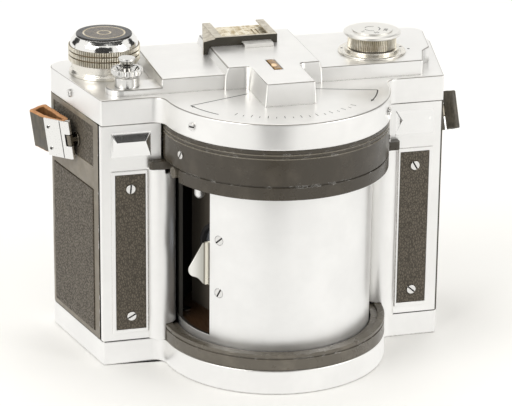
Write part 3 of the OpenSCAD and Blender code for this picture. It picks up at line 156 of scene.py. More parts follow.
class Look(Graph):
    """A procedural material that is built up on one Principled shader."""

    def __init__(self, name, color, metallic, roughness):
        self.material = bpy.data.materials.new(name)
        self.material.use_nodes = True
        super().__init__(self.material.node_tree)
        self.shader = self.tree.nodes["Principled BSDF"]
        self.set("Base Color", (*color, 1.0))
        self.set("Metallic", metallic)
        self.set("Roughness", roughness)
        self.place = self.add("ShaderNodeTexCoord").outputs["Object"]

    def set(self, name, value):
        self.put(self.shader.inputs[name], value)

    def stretched(self, scale):
        node = self.add("ShaderNodeMapping", Vector=self.place, Scale=scale)
        return node.outputs["Vector"]

    def noise(self, scale, detail=3.0, roughness=0.5, where=None):
        node = self.add("ShaderNodeTexNoise", Scale=scale, Detail=detail, Roughness=roughness)
        self.put(node.inputs["Vector"], where or self.place)
        return node.outputs["Fac"]

    def cells(self, scale, feature="F1", where=None):
        node = self.add("ShaderNodeTexVoronoi", Scale=scale)
        node.feature = feature
        self.put(node.inputs["Vector"], where or self.place)
        return node.outputs["Distance"]

    def from_axis(self, x, y, stretch=(1.0, 1.0)):
        """Distance from the upright line through x, y, in metres, with each axis scaled by its stretch."""
        offset = self.vector("SUBTRACT", self.place, (x, y, 0.0)).outputs[0]
        flat = self.vector("MULTIPLY", offset, (*stretch, 0.0)).outputs[0]
        return self.vector("LENGTH", flat).outputs["Value"]

    def axes(self, vector=None):
        """The X, Y and Z of a vector, or else of the place on the piece, in metres."""
        return self.add("ShaderNodeSeparateXYZ", Vector=vector or self.place).outputs

    def normal_axes(self):
        """The X, Y and Z of the way that the surface looks."""
        return self.axes(self.add("ShaderNodeNewGeometry").outputs["Normal"])

    def line(self, value, at_mm, near_mm, far_mm, strength=1.0):
        """A line where a value is at_mm: full up to near_mm from there, and gone at far_mm."""
        off = self.math("ABSOLUTE", self.math("SUBTRACT", value, at_mm * MM))
        return self.span(off, near_mm * MM, far_mm * MM, strength, 0.0)

    def bump(self, height, depth_mm, strength):
        node = self.add("ShaderNodeBump", Strength=strength, Distance=depth_mm * MM, Height=height)
        return node.outputs["Normal"]

    def edges(self, radius_mm):
        """Grows from 0 on flat faces to 1 on sharp outer and inner edges."""
        soft = self.add("ShaderNodeBevel", Radius=radius_mm * MM)
        soft.samples = EDGE_SAMPLES
        given = self.add("ShaderNodeNewGeometry")
        match = self.vector("DOT_PRODUCT", soft.outputs["Normal"], given.outputs["Normal"])
        return self.math("SUBTRACT", 1.0, match.outputs["Value"])

    def corners(self, distance_mm):
        """Grows from 0 in the open to 1 in hollows."""
        node = self.add("ShaderNodeAmbientOcclusion", Distance=distance_mm * MM)
        node.samples = EDGE_SAMPLES
        return self.math("SUBTRACT", 1.0, node.outputs["AO"])


def shaded(color, share):
    """A colour dimmed to a share of itself."""
    return tuple(c * share for c in color)


# Materials

# Colours that several finishes share
CHROME = (0.94, 0.933, 0.915)
POLISHED = (0.88, 0.872, 0.85)
# Grime colours that also carry painted shade in corners; the first also paints a dark reflection on the
# covers' upper edges
GRIME_AND_SHADE = (0.16, 0.14, 0.11)
OLD_GRIME_AND_SHADE = (0.20, 0.16, 0.10)
BARE_METAL = (0.72, 0.71, 0.69)
# Share of metal in satin plating, the rest being its milky haze
PLATED = 0.82
# Clouds and grain in plating: scale, detail and roughness of one noise, and the scale of the other
CLOUDS = (38.0, 4.0, 0.6)
GRAIN = 5200.0
# How far grime and painted shade reach out of the corners of plating, in millimetres
HOLLOW = 1.6
# Width of a soft border between two finishes, in millimetres
FADE = 0.1
# Where the black on the window's far lip starts: its distance left of the drum's axis, and its height
LIP_X = 37.2
LIP_Z = 18.7


def hairlines(look):
    """Fine scratches that run from front to back."""
    return look.noise(1800.0, 3.0, 0.6, look.stretched((1.0, 0.08, 1.0)))


def satin_metal(name, color, rough, grain=GRAIN, lay=None, grime_and_shade=GRIME_AND_SHADE, corner_share=0.8, black_in=None, rim=0.0):
    """Plated metal with a fine grain, clouds, and grime with painted shade in its corners.

    With black_in it is black inside that radius and on the window's far lip. With rim a painted dark
    reflection, by that share, lies along the turn of its upper edges.
    """
    look = Look(name, color, PLATED, rough)
    clouds = look.noise(*CLOUDS)
    fine = look.noise(grain, 2.0, 0.5, look.stretched(lay) if lay else None)
    specks = look.noise(900.0, 3.0, 0.65)
    tone = look.blend(look.span(clouds, 0.35, 0.7), shaded(color, 0.93), color)
    corner_patches = look.span(specks, 0.30, 0.62, 0.35, corner_share)
    # Grime with painted shade in the corners, found by ambient occlusion and broken into patches
    hollow_grime_and_shade = look.times(look.span(look.corners(HOLLOW), 0.42, 0.85), corner_patches)
    tone = look.blend(hollow_grime_and_shade, tone, grime_and_shade)
    # Painted dark reflection along the turn of the upper edges, in the grime colour
    if rim:
        up = look.normal_axes()["Z"]
        turn = look.times(look.span(up, 0.42, 0.62), look.span(up, 0.84, 0.96, 1.0, 0.0))
        tone = look.blend(look.times(turn, rim), tone, grime_and_shade)
    gloss = look.span(clouds, 0.3, 0.7, rough - 0.05, rough + 0.06)
    gloss = look.math("ADD", gloss, look.times(hollow_grime_and_shade, 0.25))
    if black_in:
        reach = look.from_axis(0.0, 0.0)
        inside = look.span(reach, (black_in - 0.25) * MM, (black_in - 0.1) * MM, 1.0, 0.0)
        place = look.axes()
        lip = look.span(place["X"], -LIP_X * MM, (0.2 - LIP_X) * MM, 1.0, 0.0)
        lip = look.times(lip, look.span(place["Z"], (LIP_Z - FADE) * MM, LIP_Z * MM))
        inside = look.math("MAXIMUM", inside, lip)
        tone = look.blend(inside, tone, (0.030, 0.027, 0.022))
        gloss = look.math("ADD", gloss, look.times(inside, 0.35))
        look.set("Metallic", look.span(inside, 0.0, 1.0, PLATED, 0.0))
    look.set("Base Color", tone)
    look.set("Roughness", gloss)
    look.set("Normal", look.bump(fine, 0.004, 0.5))
    return look.material


# Places across the flat finger tab, to the left of the drum's axis: its tip, its painted bend and the shell's
# edge
TAB_TIP, TAB_BEND, TAB_ROOT = 39.5, 33.9, 33.2


def tab_with_painted_bend(name):
    """Plating on the flat finger tab, shaded towards a painted bend where it leaves the shell."""
    look = Look(name, (0.80, 0.79, 0.74), PLATED, 0.3)
    across = look.axes()["X"]
    leaf = look.span(across, -TAB_TIP * MM, -TAB_BEND * MM)
    tone = look.blend(leaf, (0.86, 0.85, 0.81), (0.50, 0.49, 0.44))
    # Painted shade as a dark line at the bend, and painted light in beige past it to the shell's edge
    tone = look.blend(look.line(across, -TAB_BEND, 0.12, 0.45, 0.8), tone, (0.12, 0.10, 0.07))
    tone = look.blend(look.span(across, -TAB_BEND * MM, -TAB_ROOT * MM), tone, (0.84, 0.80, 0.69))
    look.set("Base Color", tone)
    look.set("Roughness", look.span(look.noise(*CLOUDS), 0.3, 0.7, 0.25, 0.36))
    look.set("Normal", look.bump(look.noise(GRAIN, 2.0), 0.004, 0.5))
    return look.material


def bright_metal(name, color, rough, slots=1.0):
    """Polished plating with hairline scratches, small pits and painted shade in its hollows."""
    look = Look(name, color, 1.0, rough)
    hair = hairlines(look)
    pits = look.span(look.noise(2600.0, 2.0, 0.5), 0.66, 0.74)
    # Painted shade in slots and hollows, found by ambient occlusion
    hollow_grime_and_shade = look.span(look.corners(slots), 0.38, 0.75, 0.0, 0.9)
    tone = look.blend(pits, color, shaded(color, 0.6))
    look.set("Base Color", look.blend(hollow_grime_and_shade, tone, (0.06, 0.05, 0.04)))
    look.set("Roughness", look.span(hair, 0.3, 0.7, rough * 0.7, rough * 1.5))
    look.set("Normal", look.bump(hair, 0.002, 0.4))
    return look.material


# Where the polish of the front panels' raised badges sets in: its heights, and its depth before the panel
BADGE_Z = (86.6, 87.0)
BADGE_Y = 0.2
# The right panel's outer edge, black with painted shade beyond this distance to the right of the drum's axis
SHADED_EDGE_X = 69.25


def badge_chrome(name):
    """Satin plating that turns to a polish on the raised badge; its right outer edge is black, as painted
    shade.
    """
    look = Look(name, CHROME, PLATED, 0.33)
    clouds = look.noise(*CLOUDS)
    place = look.axes()
    above = look.span(place["Z"], BADGE_Z[0] * MM, BADGE_Z[1] * MM)
    polish = look.times(above, look.span(place["Y"], -BADGE_Y * MM, 0.0, 1.0, 0.0))
    corner_patches = look.span(look.noise(900.0), 0.3, 0.62, 0.35, 0.8)
    # Grime with painted shade in the corners, found by ambient occlusion
    hollow_grime_and_shade = look.times(look.span(look.corners(HOLLOW), 0.42, 0.85), corner_patches)
    tone = look.blend(look.span(clouds, 0.35, 0.7), (0.88, 0.873, 0.855), CHROME)
    # Black outer edge at the right, as painted shade
    outer = look.span(place["X"], SHADED_EDGE_X * MM, (SHADED_EDGE_X + FADE) * MM)
    tone = look.blend(hollow_grime_and_shade, tone, GRIME_AND_SHADE)
    look.set("Base Color", look.blend(outer, tone, (0.060, 0.052, 0.040)))
    gloss = look.span(clouds, 0.3, 0.7, 0.28, 0.39)
    plated = look.span(polish, 0.0, 1.0, PLATED, 1.0)
    look.set("Metallic", look.times(plated, look.math("SUBTRACT", 1.0, outer)))
    look.set("Roughness", look.times(gloss, look.span(polish, 0.0, 1.0, 1.0, 0.35)))
    look.set("Normal", look.bump(look.noise(GRAIN, 2.0), 0.004, 0.4))
    return look.material


def knurled_metal(name, node, knurl):
    """Polished plating with a dull knurled band, darker at the roots of its teeth."""
    look = Look(name, POLISHED, 1.0, 0.1)
    centre = middle(node)
    root, low, high = knurl
    reach = look.from_axis(centre.x, centre.y)
    rise = look.axes()["Z"]
    above = look.span(rise, (low - FADE) * MM, low * MM)
    band = look.times(above, look.span(rise, high * MM, (high + FADE) * MM, 1.0, 0.0))
    # Darker towards the roots of the knurls
    cut = look.span(reach, root * MM, (root + 0.28) * MM, 1.0, 0.0)
    mottle = look.noise(520.0, 4.0, 0.65)
    ridge = look.blend(look.span(mottle, 0.35, 0.7), (0.66, 0.61, 0.50), (0.86, 0.83, 0.75))
    teeth = look.blend(cut, ridge, OLD_GRIME_AND_SHADE)
    hair = hairlines(look)
    gloss = look.span(hair, 0.3, 0.7, 0.07, 0.15)
    look.set("Base Color", look.blend(band, POLISHED, teeth))
    look.set("Roughness", look.math("ADD", gloss, look.times(band, 0.28)))
    look.set("Normal", look.bump(hair, 0.002, 0.4))
    return look.material


def worn_paint(name, color, rough, wear, edge_mm=0.45, lines=()):
    """Black paint over plating, chipped along its edges and here and there on its faces.

    Faint pale lines run round it at the heights in lines, in millimetres, as worn edges with a painted
    highlight.
    """
    look = Look(name, color, 0.0, rough)
    patch = look.noise(260.0, 4.0, 0.6)
    flakes = look.noise(1500.0, 3.0, 0.6)
    rim = look.span(look.edges(edge_mm), 0.03, 0.16)
    chips = look.times(rim, look.span(patch, 0.60 - 0.1 * wear, 0.66 - 0.06 * wear))
    chips = look.times(chips, look.span(flakes, 0.36, 0.46))
    stray = look.times(look.span(flakes, 0.705, 0.725), look.span(patch, 0.57, 0.62))
    chips = look.math("MAXIMUM", chips, stray)
    dust = look.span(look.noise(95.0, 5.0, 0.65), 0.45, 0.8)
    coat = look.blend(dust, color, tuple(c * 1.5 + 0.006 for c in color))
    rise = look.axes()["Z"]
    # Pale lines of wear with a painted highlight
    for z in lines:
        coat = look.blend(look.line(rise, z, 0.05, 0.16, 0.6), coat, (0.42, 0.38, 0.31))
    look.set("Base Color", look.blend(chips, coat, BARE_METAL))
    look.set("Metallic", chips)
    look.set("Roughness", look.span(look.noise(140.0, 4.0, 0.6), 0.3, 0.75, rough * 0.75, rough * 1.35))
    height = look.math("SUBTRACT", look.noise(700.0, 2.0), look.times(chips, 2.0))
    look.set("Normal", look.bump(height, 0.004, 0.6))
    return look.material


def grained_leather(name, dark, light, wear):
    """Embossed covering: upright pebbles of uneven size with furrows between them."""
    pitch = 1250.0
    rough = 0.5
    look = Look(name, dark, 0.0, rough)
    drift = look.add("ShaderNodeTexNoise", Vector=look.place, Scale=420.0, Detail=2.0)
    shift = look.vector("MULTIPLY", drift.outputs["Color"], (0.0013, 0.0013, 0.0013)).outputs[0]
    where = look.vector("ADD", shift, look.place).outputs[0]
    where = look.vector("MULTIPLY", where, (1.0, 1.0, 0.55)).outputs[0]
    pebble = look.span(look.cells(pitch, "DISTANCE_TO_EDGE", where), 0.015, 0.24)
    small = look.cells(pitch * 2.3, "F1", where)
    height = look.math("SUBTRACT", pebble, look.times(small, 0.18))
    shade = look.blend(pebble, shaded(dark, 0.45), dark)
    scuff = look.times(look.span(look.noise(150.0, 5.0, 0.65), 0.5, 0.78), pebble)
    shade = look.blend(look.times(scuff, 0.4), shade, light)
    edge = look.span(look.edges(0.5), 0.05, 0.25)
    rub = look.times(edge, look.span(look.noise(500.0), 0.45, 0.65))
    look.set("Base Color", look.blend(look.times(rub, 0.5), shade, wear))
    look.set("Roughness", look.span(pebble, 0.0, 1.0, rough + 0.25, rough - 0.06))
    look.set("Normal", look.bump(height, 0.09, 0.85))
    return look.material


def hide(name, dark, light, rough, pore=2200.0, depth=0.03):
    """Strap leather with pores, upright creases and a cloudy dye."""
    look = Look(name, dark, 0.0, rough)
    clouds = look.noise(210.0, 5.0, 0.65)
    pores = look.cells(pore)
    crease = look.noise(1100.0, 4.0, 0.7, look.stretched((1.0, 1.0, 0.12)))
    tone = look.blend(look.span(look.math("ADD", clouds, crease), 0.75, 1.3), dark, light)
    look.set("Base Color", look.blend(look.span(pores, 0.0, 0.25, 0.5, 0.0), tone, shaded(dark, 0.5)))
    look.set("Roughness", look.span(clouds, 0.3, 0.7, rough - 0.08, rough + 0.1))
    look.set("Normal", look.bump(look.math("ADD", pores, crease), depth, 0.6))
    return look.material


def dull_metal(name, color, rough, metallic=1.0):
    """Machined inner metal with cutter marks and a dull film."""
    look = Look(name, color, metallic, rough)
    marks = look.noise(1400.0, 3.0, 0.6, look.stretched((1.0, 0.12, 1.0)))
    film = look.noise(70.0, 4.0, 0.6)
    look.set("Base Color", look.blend(look.span(film, 0.35, 0.7), shaded(color, 0.7), color))
    look.set("Roughness", look.span(marks, 0.3, 0.7, rough - 0.08, rough + 0.1))
    look.set("Normal", look.bump(marks, 0.004, 0.5))
    return look.material


def matt_black(name, color, rough=0.65):
    """Dull black with dust in it."""
    look = Look(name, color, 0.0, rough)
    dust = look.span(look.noise(1300.0, 3.0, 0.7), 0.62, 0.8)
    look.set("Base Color", look.blend(look.times(dust, 0.35), color, (0.12, 0.10, 0.08)))
    look.set("Roughness", look.span(look.noise(120.0), 0.3, 0.7, rough - 0.1, rough + 0.12))
    look.set("Normal", look.bump(look.noise(2200.0, 2.0), 0.012, 0.7))
    return look.material


def clear_glass(name, color, rough, transmission, flecks):
    """Glass with faint dust on it."""
    look = Look(name, color, 0.0, rough)
    dust = look.times(look.span(look.noise(1500.0, 3.0, 0.7), 0.62, 0.8), 0.5)
    look.set("Base Color", look.blend(dust, color, flecks))
    look.set("Roughness", look.math("ADD", look.times(dust, 0.4), rough))
    look.set("Transmission Weight", transmission)
    look.set("IOR", 1.52)
    return look.material


# The level's bubble: its place from the vial's middle, its scale in X and Y, and the radii where it fades
BUBBLE_AT = (-0.5, -1.2)
BUBBLE_FORM = (1.5, 0.8)
BUBBLE_R = (1.1, 1.9)


def vial_liquid(name):
    """Cloudy amber liquid under glass, with a pale bubble."""
    look = Look(name, (0.30, 0.15, 0.02), 0.0, 0.08)
    centre = middle("level_vial")
    bubble = look.from_axis(centre.x + BUBBLE_AT[0] * MM, centre.y + BUBBLE_AT[1] * MM, BUBBLE_FORM)
    pale = look.span(bubble, BUBBLE_R[0] * MM, BUBBLE_R[1] * MM, 1.0, 0.0)
    cloud = look.span(look.noise(600.0, 3.0, 0.6), 0.35, 0.7)
    liquid = look.blend(cloud, (0.16, 0.075, 0.008), (0.34, 0.18, 0.025))
    look.set("Base Color", look.blend(pale, liquid, (0.78, 0.55, 0.30)))
    look.set("Roughness", look.span(cloud, 0.0, 1.0, 0.06, 0.12))
    return look.material


def shoe_brass(name):
    """Thin spring brass, mottled with age, rubbed bright along its length and plated at its front end."""
    look = Look(name, (0.62, 0.50, 0.31), 0.75, 0.4)
    mottle = look.noise(420.0, 5.0, 0.7)
    rub = look.noise(1500.0, 3.0, 0.6, look.stretched((1.0, 0.06, 1.0)))
    tone = look.blend(look.span(mottle, 0.42, 0.62), (0.86, 0.78, 0.60), (0.50, 0.39, 0.21))
    tone = look.blend(look.span(rub, 0.5, 0.7), tone, (0.90, 0.86, 0.75))
    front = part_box("accessory_shoe")[0][1]
    plated = look.span(look.axes()["Y"], front - FADE * MM, front + 1.0 * MM, 1.0, 0.0)
    look.set("Base Color", look.blend(plated, tone, (0.86, 0.85, 0.82)))
    look.set("Roughness", look.span(mottle, 0.3, 0.7, 0.28, 0.5))
    look.set("Normal", look.bump(mottle, 0.01, 0.5))
    return look.material


def shoe_black(name):
    """Black paint on the shoe's walls, turning to dull metal where they look up or to the left, as wear and
    painted light.
    """
    color = (0.030, 0.026, 0.017)
    look = Look(name, color, 0.0, 0.34)
    normal = look.normal_axes()
    patch = look.noise(340.0, 4.0, 0.65)
    left = look.times(normal["X"], -1.0)
    # Faces that look up or to the left, on the key lamp's side, take the metal colour: wear with painted
    # light
    worn_and_lit = look.span(look.math("MAXIMUM", normal["Z"], left), 0.25, 0.6)
    worn_and_lit = look.times(worn_and_lit, look.span(patch, 0.25, 0.5, 0.55, 1.0))
    metal = look.blend(look.span(patch, 0.4, 0.7), (0.50, 0.45, 0.36), (0.70, 0.66, 0.57))
    dust = look.span(look.noise(95.0, 5.0, 0.65), 0.45, 0.8)
    look.set("Base Color", look.blend(worn_and_lit, look.blend(dust, color, (0.055, 0.048, 0.034)), metal))
    look.set("Metallic", look.times(worn_and_lit, 0.7))
    look.set("Roughness", look.span(patch, 0.3, 0.75, 0.28, 0.46))
    look.set("Normal", look.bump(look.noise(700.0, 2.0), 0.004, 0.6))
    return look.material


# Radii on the knob's plate: where the brown middle ends, and the two pale rings
DISC_BROWN_R = (7.8, 8.0)
DISC_RINGS = (2.6, 8.2)


def disc_lacquer(name):
    """Black knob plate with two pale inlaid rings and a brown, mottled middle."""
    color = (0.014, 0.013, 0.013)
    look = Look(name, color, 0.0, 0.25)
    centre = middle("knob_disc")
    reach = look.from_axis(centre.x, centre.y)
    mottle = look.noise(750.0, 5.0, 0.7)
    brown = look.blend(look.span(mottle, 0.36, 0.66), (0.040, 0.030, 0.021), (0.15, 0.125, 0.095))
    tone = look.blend(look.span(reach, DISC_BROWN_R[0] * MM, DISC_BROWN_R[1] * MM), brown, color)
    for radius in DISC_RINGS:
        tone = look.blend(look.line(reach, radius, 0.28, 0.40), tone, (0.70, 0.64, 0.52))
    look.set("Base Color", tone)
    look.set("Roughness", look.span(mottle, 0.3, 0.7, 0.2, 0.38))
    look.set("Normal", look.bump(mottle, 0.006, 0.5))
    return look.material


# Radius at the foot of the knurls, and the heights between which they stand
KNOB_KNURL = (13.8, 116.8, 123.0)
DIAL_KNURL = (9.3, 117.5, 124.0)
# Heights of the pale lines round the upper ring, worn groove edges with a painted highlight
RING_WORN_HIGHLIGHTS = (97.2, 98.8)

# Plating of the covers, with a painted dark reflection along their upper edges
satin = satin_metal("satin_chrome", CHROME, 0.33, rim=0.75)
tab_metal = tab_with_painted_bend("tab_nickel")
turned = satin_metal(
    "turned_chrome", (0.93, 0.926, 0.912), 0.36, 2600.0, (0.05, 0.05, 1.0), corner_share=0.4, black_in=DRUM_R,
)
bright = bright_metal("bright_chrome", POLISHED, 0.10)
warm = satin_metal("warm_nickel", (0.86, 0.83, 0.76), 0.24, 3000.0, grime_and_shade=OLD_GRIME_AND_SHADE, corner_share=0.9)
cap_metal = satin_metal("cap_nickel", (0.88, 0.868, 0.83), 0.36, 3000.0, grime_and_shade=OLD_GRIME_AND_SHADE)
panel_metal = badge_chrome("panel_chrome")
knob_metal = knurled_metal("knob_chrome", "winding_knob", KNOB_KNURL)
dial_metal = knurled_metal("dial_chrome", "speed_dial", DIAL_KNURL)
release_metal = bright_metal("release_chrome", (0.74, 0.733, 0.712), 0.12, 2.6)
screw_metal = bright_metal("screw_nickel", (0.80, 0.79, 0.77), 0.16, 0.7)
lacquer = worn_paint("black_lacquer", (0.044, 0.036, 0.025), 0.30, wear=0.7, lines=RING_WORN_HIGHLIGHTS)
# A lighter copy of the black lacquer for the lower ring and its stops, as painted light
lit_low_lacquer = worn_paint("lower_ring_lit_lacquer", (0.105, 0.092, 0.072), 0.32, wear=0.6)
enamel = worn_paint("black_enamel", (0.165, 0.142, 0.107), 0.38, wear=0.6, edge_mm=0.5)
shoe_paint = shoe_black("shoe_black")
covering = grained_leather("leatherette", (0.116, 0.096, 0.069), (0.172, 0.143, 0.105), (0.22, 0.19, 0.15))
strap_dark = hide("strap_dark", (0.038, 0.032, 0.023), (0.112, 0.097, 0.070), 0.42)
strap_raw = hide("strap_raw", (0.13, 0.055, 0.014), (0.24, 0.11, 0.035), 0.75, 3200.0, 0.05)
strap_cut = hide("strap_cut", (0.38, 0.17, 0.066), (0.56, 0.29, 0.13), 0.8, 3600.0, 0.05)
steel = dull_metal("inner_steel", (0.55, 0.54, 0.53), 0.32)
chassis = dull_metal("chassis_grey", (0.32, 0.32, 0.31), 0.45)
brass = dull_metal("gear_brass", (0.72, 0.54, 0.24), 0.32)
floor_brown = dull_metal("drum_brown", (0.085, 0.043, 0.020), 0.42, 0.25)
trap = matt_black("trap_black", (0.125, 0.108, 0.086))
lug_metal = dull_metal("lug_steel", (0.30, 0.27, 0.22), 0.3)
spool_black = matt_black("spool_black", (0.022, 0.021, 0.021), 0.5)
glass = clear_glass("lens_glass", (0.80, 0.84, 0.92), 0.03, 0.85, (0.7, 0.7, 0.7))
amber = vial_liquid("vial_amber")
brass_mottled = shoe_brass("shoe_brass")
disc_black = disc_lacquer("disc_black")
ink_and_shade = matt_black("engraving_and_shade_black", (0.016, 0.014, 0.012), 0.5)

# Finish of each solid but the straps and the release's spring: its material, and its rounding in millimetres
FINISH = {
    "base_cover": (satin, 0.8),
    "top_cover": (satin, 0.7),
    "front_panel_left": (panel_metal, 0.25),
    "front_panel_right": (panel_metal, 0.25),
    "drum_shell": (turned, 0.12),
    "finger_tab": (tab_metal, 0.35),
    "dial_cap": (cap_metal, 0.12),
    "dial_flange": (warm, 0.12),
    "wind_collar": (warm, 0.15),
    "release_collar": (release_metal, 0.15),
    "release_button": (release_metal, 0.12),
    "winding_knob": (knob_metal, 0.10),
    "speed_dial": (dial_metal, 0.0),
    "strap_lug_left": (lug_metal, 0.15),
    "strap_lug_right": (lug_metal, 0.15),
    "strap_buckle_left": (bright, 0.12),
    "strap_buckle_right": (bright, 0.12),
    "door_latch": (bright, 0.15),
    "case_screws": (screw_metal, 0.08),
    "panel_screws": (screw_metal, 0.08),
    "ring_screws": (screw_metal, 0.06),
    "shell_screws": (screw_metal, 0.05),
    "upper_ring": (lacquer, 0.18),
    "lower_ring": (lit_low_lacquer, 0.18),
    "ring_stops": (lit_low_lacquer, 0.30),
    "accessory_shoe": (shoe_paint, 0.10),
    "knob_disc": (disc_black, 0.08),
    "side_wall_left": (enamel, 0.25),
    "side_wall_right": (enamel, 0.25),
    "back_door": (enamel, 0.25),
    "front_leather_left": (covering, 0.12),
    "front_leather_right": (covering, 0.12),
    "side_leather_left": (covering, 0.12),
    "side_leather_right": (covering, 0.12),
    "back_leather": (covering, 0.20),
    "shoe_plate": (brass_mottled, 0.06),
    "tripod_bush": (steel, 0.15),
    "wind_shaft": (steel, 0.0),
    "film_roller_left": (steel, 0.0),
    "film_roller_right": (steel, 0.0),
    "hinge_pin": (steel, 0.0),
    "lower_plate": (chassis, 0.0),
    "upper_plate": (chassis, 0.0),
    "drum_top": (chassis, 0.0),
    "drum_base": (floor_brown, 0.0),
    "drum_bearings": (brass, 0.0),
    "drum_gear": (brass, 0.0),
    "spring_barrel": (brass, 0.0),
    "governor_wheel": (brass, 0.0),
    "film_gate": (trap, 0.0),
    "lens_board": (trap, 0.0),
    "lens_barrel": (spool_black, 0.15),
    "light_tunnel": (trap, 0.0),
    "takeup_spool": (spool_black, 0.0),
    "supply_spool": (spool_black, 0.0),
    "lens_elements": (glass, 0.0),
    "level_vial": (amber, 0.0),
}


# Geometry helpers


def new_object(name, mesh):
    """An object in the scene that holds a mesh."""
    obj = bpy.data.objects.new(name, mesh)
    bpy.context.scene.collection.objects.link(obj)
    return obj


def finished_mesh(bm, name):
    """A mesh made from an edited one, which is freed."""
    mesh = bpy.data.meshes.new(name)
    bm.to_mesh(mesh)
    bm.free()
    return mesh


# Edges that bend by more than this angle stay sharp
SMOOTH_ANGLE = math.radians(30.0)
# Faces with this much of their normal upright, and larger than this in square millimetres, are shaded flat
LEVEL = 0.99999
FLAT_AREA = 40.0


def smooth(obj):
    """Smooth shading that leaves sharp edges and large level faces as they are."""
    mesh = obj.data
    mesh.polygons.foreach_set("use_smooth", [True] * len(mesh.polygons))
    mesh.set_sharp_from_angle(angle=SMOOTH_ANGLE)
    for face in mesh.polygons:
        if abs(face.normal.z) > LEVEL and face.area > FLAT_AREA * MM * MM:
            face.use_smooth = False
    weights = obj.modifiers.new("weighted", "WEIGHTED_NORMAL")
    weights.keep_sharp = True


def paint(obj, *materials):
    """Gives an object these materials in place of what it has."""
    if obj.data.materials:
        obj.data.materials.clear()
    for material in materials:
        obj.data.materials.append(material)


# Edges that bend by more than this angle are rounded, in this many steps
BENT = math.radians(28.0)
ROUND_STEPS = 3
# Inner edges of a screw that are longer than this, in millimetres, lie at the foot of its slot, whose faces
# are painted black as shade
SLOT_L = 1.4
# A rounding wider than this, in millimetres, leaves out the rims of screw holes, which are lined by faces
# up to this area, in square millimetres
WIDE = 0.5
HOLE_FACE = 1.2
# Points this close, in millimetres, and faces that bend by less than this angle are joined before rounding
JOIN = 0.0005
FLAT = math.radians(0.4)
# The step beside the hump's foot, too narrow to be rounded: its span in X and in Y
STEP_X = (19.66, 20.0)
STEP_Y = (2.0, 3.2)


def close_step(bm, side):
    """Folds the narrow step beside the hump's foot into the hump's side."""

    def nearest(x, y):
        spot = Vector((side * x, y, Z_UPPER)) * MM
        return min(bm.verts, key=lambda v: (v.co - spot).length)

    inner = nearest(STEP_X[0], STEP_Y[0])
    outer = nearest(STEP_X[1], STEP_Y[0])
    back = nearest(STEP_X[1], STEP_Y[1])
    foot = max(inner.link_edges, key=lambda e: e.calc_length())
    _, meet = bmesh.utils.edge_split(foot, inner, (STEP_Y[1] - STEP_Y[0]) * MM / foot.calc_length())
    deck = next(f for f in meet.link_faces if back in f.verts)
    bmesh.utils.face_split(deck, meet, back)
    bmesh.ops.weld_verts(bm, targetmap={back: meet, outer: inner})


def stand_in(node, name, mesh, *materials):
    """An object that takes the place of a node and its body."""
    obj = new_object(name, mesh)
    paint(obj, *materials)
    smooth(obj)
    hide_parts(node)
    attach(obj, BODY_OF[node])
    return obj


def bevelled_copy(node, material, width):
    """Makes a copy of a node's mesh with its outer edges rounded, which stands in for the node."""
    bm = bmesh.new()
    bm.from_mesh(frame["nodes"][node].data)
    bmesh.ops.remove_doubles(bm, verts=bm.verts, dist=JOIN * MM)
    bmesh.ops.dissolve_limit(bm, angle_limit=FLAT, verts=bm.verts, edges=bm.edges)
    if node == "top_cover":
        for side in (-1, 1):
            close_step(bm, side)
    bent = [e for e in bm.edges if len(e.link_faces) == 2 and e.calc_face_angle(0.0) > BENT]
    # The faces at the foot of a screw's slot take the black second material, as painted shade
    if material is screw_metal:
        for edge in bent:
            if not edge.is_convex and edge.calc_length() > SLOT_L * MM:
                for face in edge.link_faces:
                    face.material_index = 1
    rims = [e for e in bent if e.is_convex]
    if width > WIDE:
        rims = [e for e in rims if min(f.calc_area() for f in e.link_faces) > HOLE_FACE * MM * MM]
    bmesh.ops.bevel(
        bm, geom=rims, offset=width * MM, offset_type="OFFSET", segments=ROUND_STEPS, profile=0.5,
        affect="EDGES", clamp_overlap=False, loop_slide=True,
    )
    stand_in(node, node + "_rounded", finished_mesh(bm, node + "_rounded"), material, ink_and_shade)


# Sides of a round mark, and how far engraved pieces lie above their face, in millimetres
DOT_SIDES = 24
LINE_LIFT = 0.02


def black_piece(bm, name, body):
    """Makes a black piece that rides on a body."""
    obj = new_object(name, finished_mesh(bm, name))
    paint(obj, ink_and_shade)
    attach(obj, body)


def engraving(bm, name, body):
    """Makes a flat black piece that looks up."""
    for face in bm.faces:
        face.normal_update()
        if face.normal.z < 0:
            face.normal_flip()
    black_piece(bm, name, body)


def strip(name, points, width, height, body):
    """Engraves a line along points in millimetres."""
    bm = bmesh.new()
    rows = []
    for i, p in enumerate(points):
        before = points[max(i - 1, 0)]
        after = points[min(i + 1, len(points) - 1)]
        along = Vector((after[0] - before[0], after[1] - before[1])).normalized()
        side = Vector((-along.y, along.x)) * width / 2
        rows.append([
            bm.verts.new(((p[0] + s * side.x) * MM, (p[1] + s * side.y) * MM, height * MM)) for s in (-1, 1)
        ])
    for (a, b), (c, d) in zip(rows, rows[1:]):
        bm.faces.new((a, c, d, b))
    engraving(bm, name, body)


def wedge(name, tip, root, width, height, body):
    """Engraves an arrowhead."""
    bm = bmesh.new()
    along = (Vector(root) - Vector(tip)).normalized()
    side = Vector((-along.y, along.x)) * width / 2
    corners = (Vector(tip), Vector(root) + side, Vector(root) - side)
    bm.faces.new([bm.verts.new((c.x * MM, c.y * MM, height * MM)) for c in corners])
    engraving(bm, name, body)


def dot(name, x, y, radius, height, body):
    """Engraves a round mark."""
    bm = bmesh.new()
    place = Matrix.Translation((x * MM, y * MM, height * MM))
    bmesh.ops.create_circle(bm, cap_ends=True, segments=DOT_SIDES, radius=radius * MM, matrix=place)
    engraving(bm, name, body)


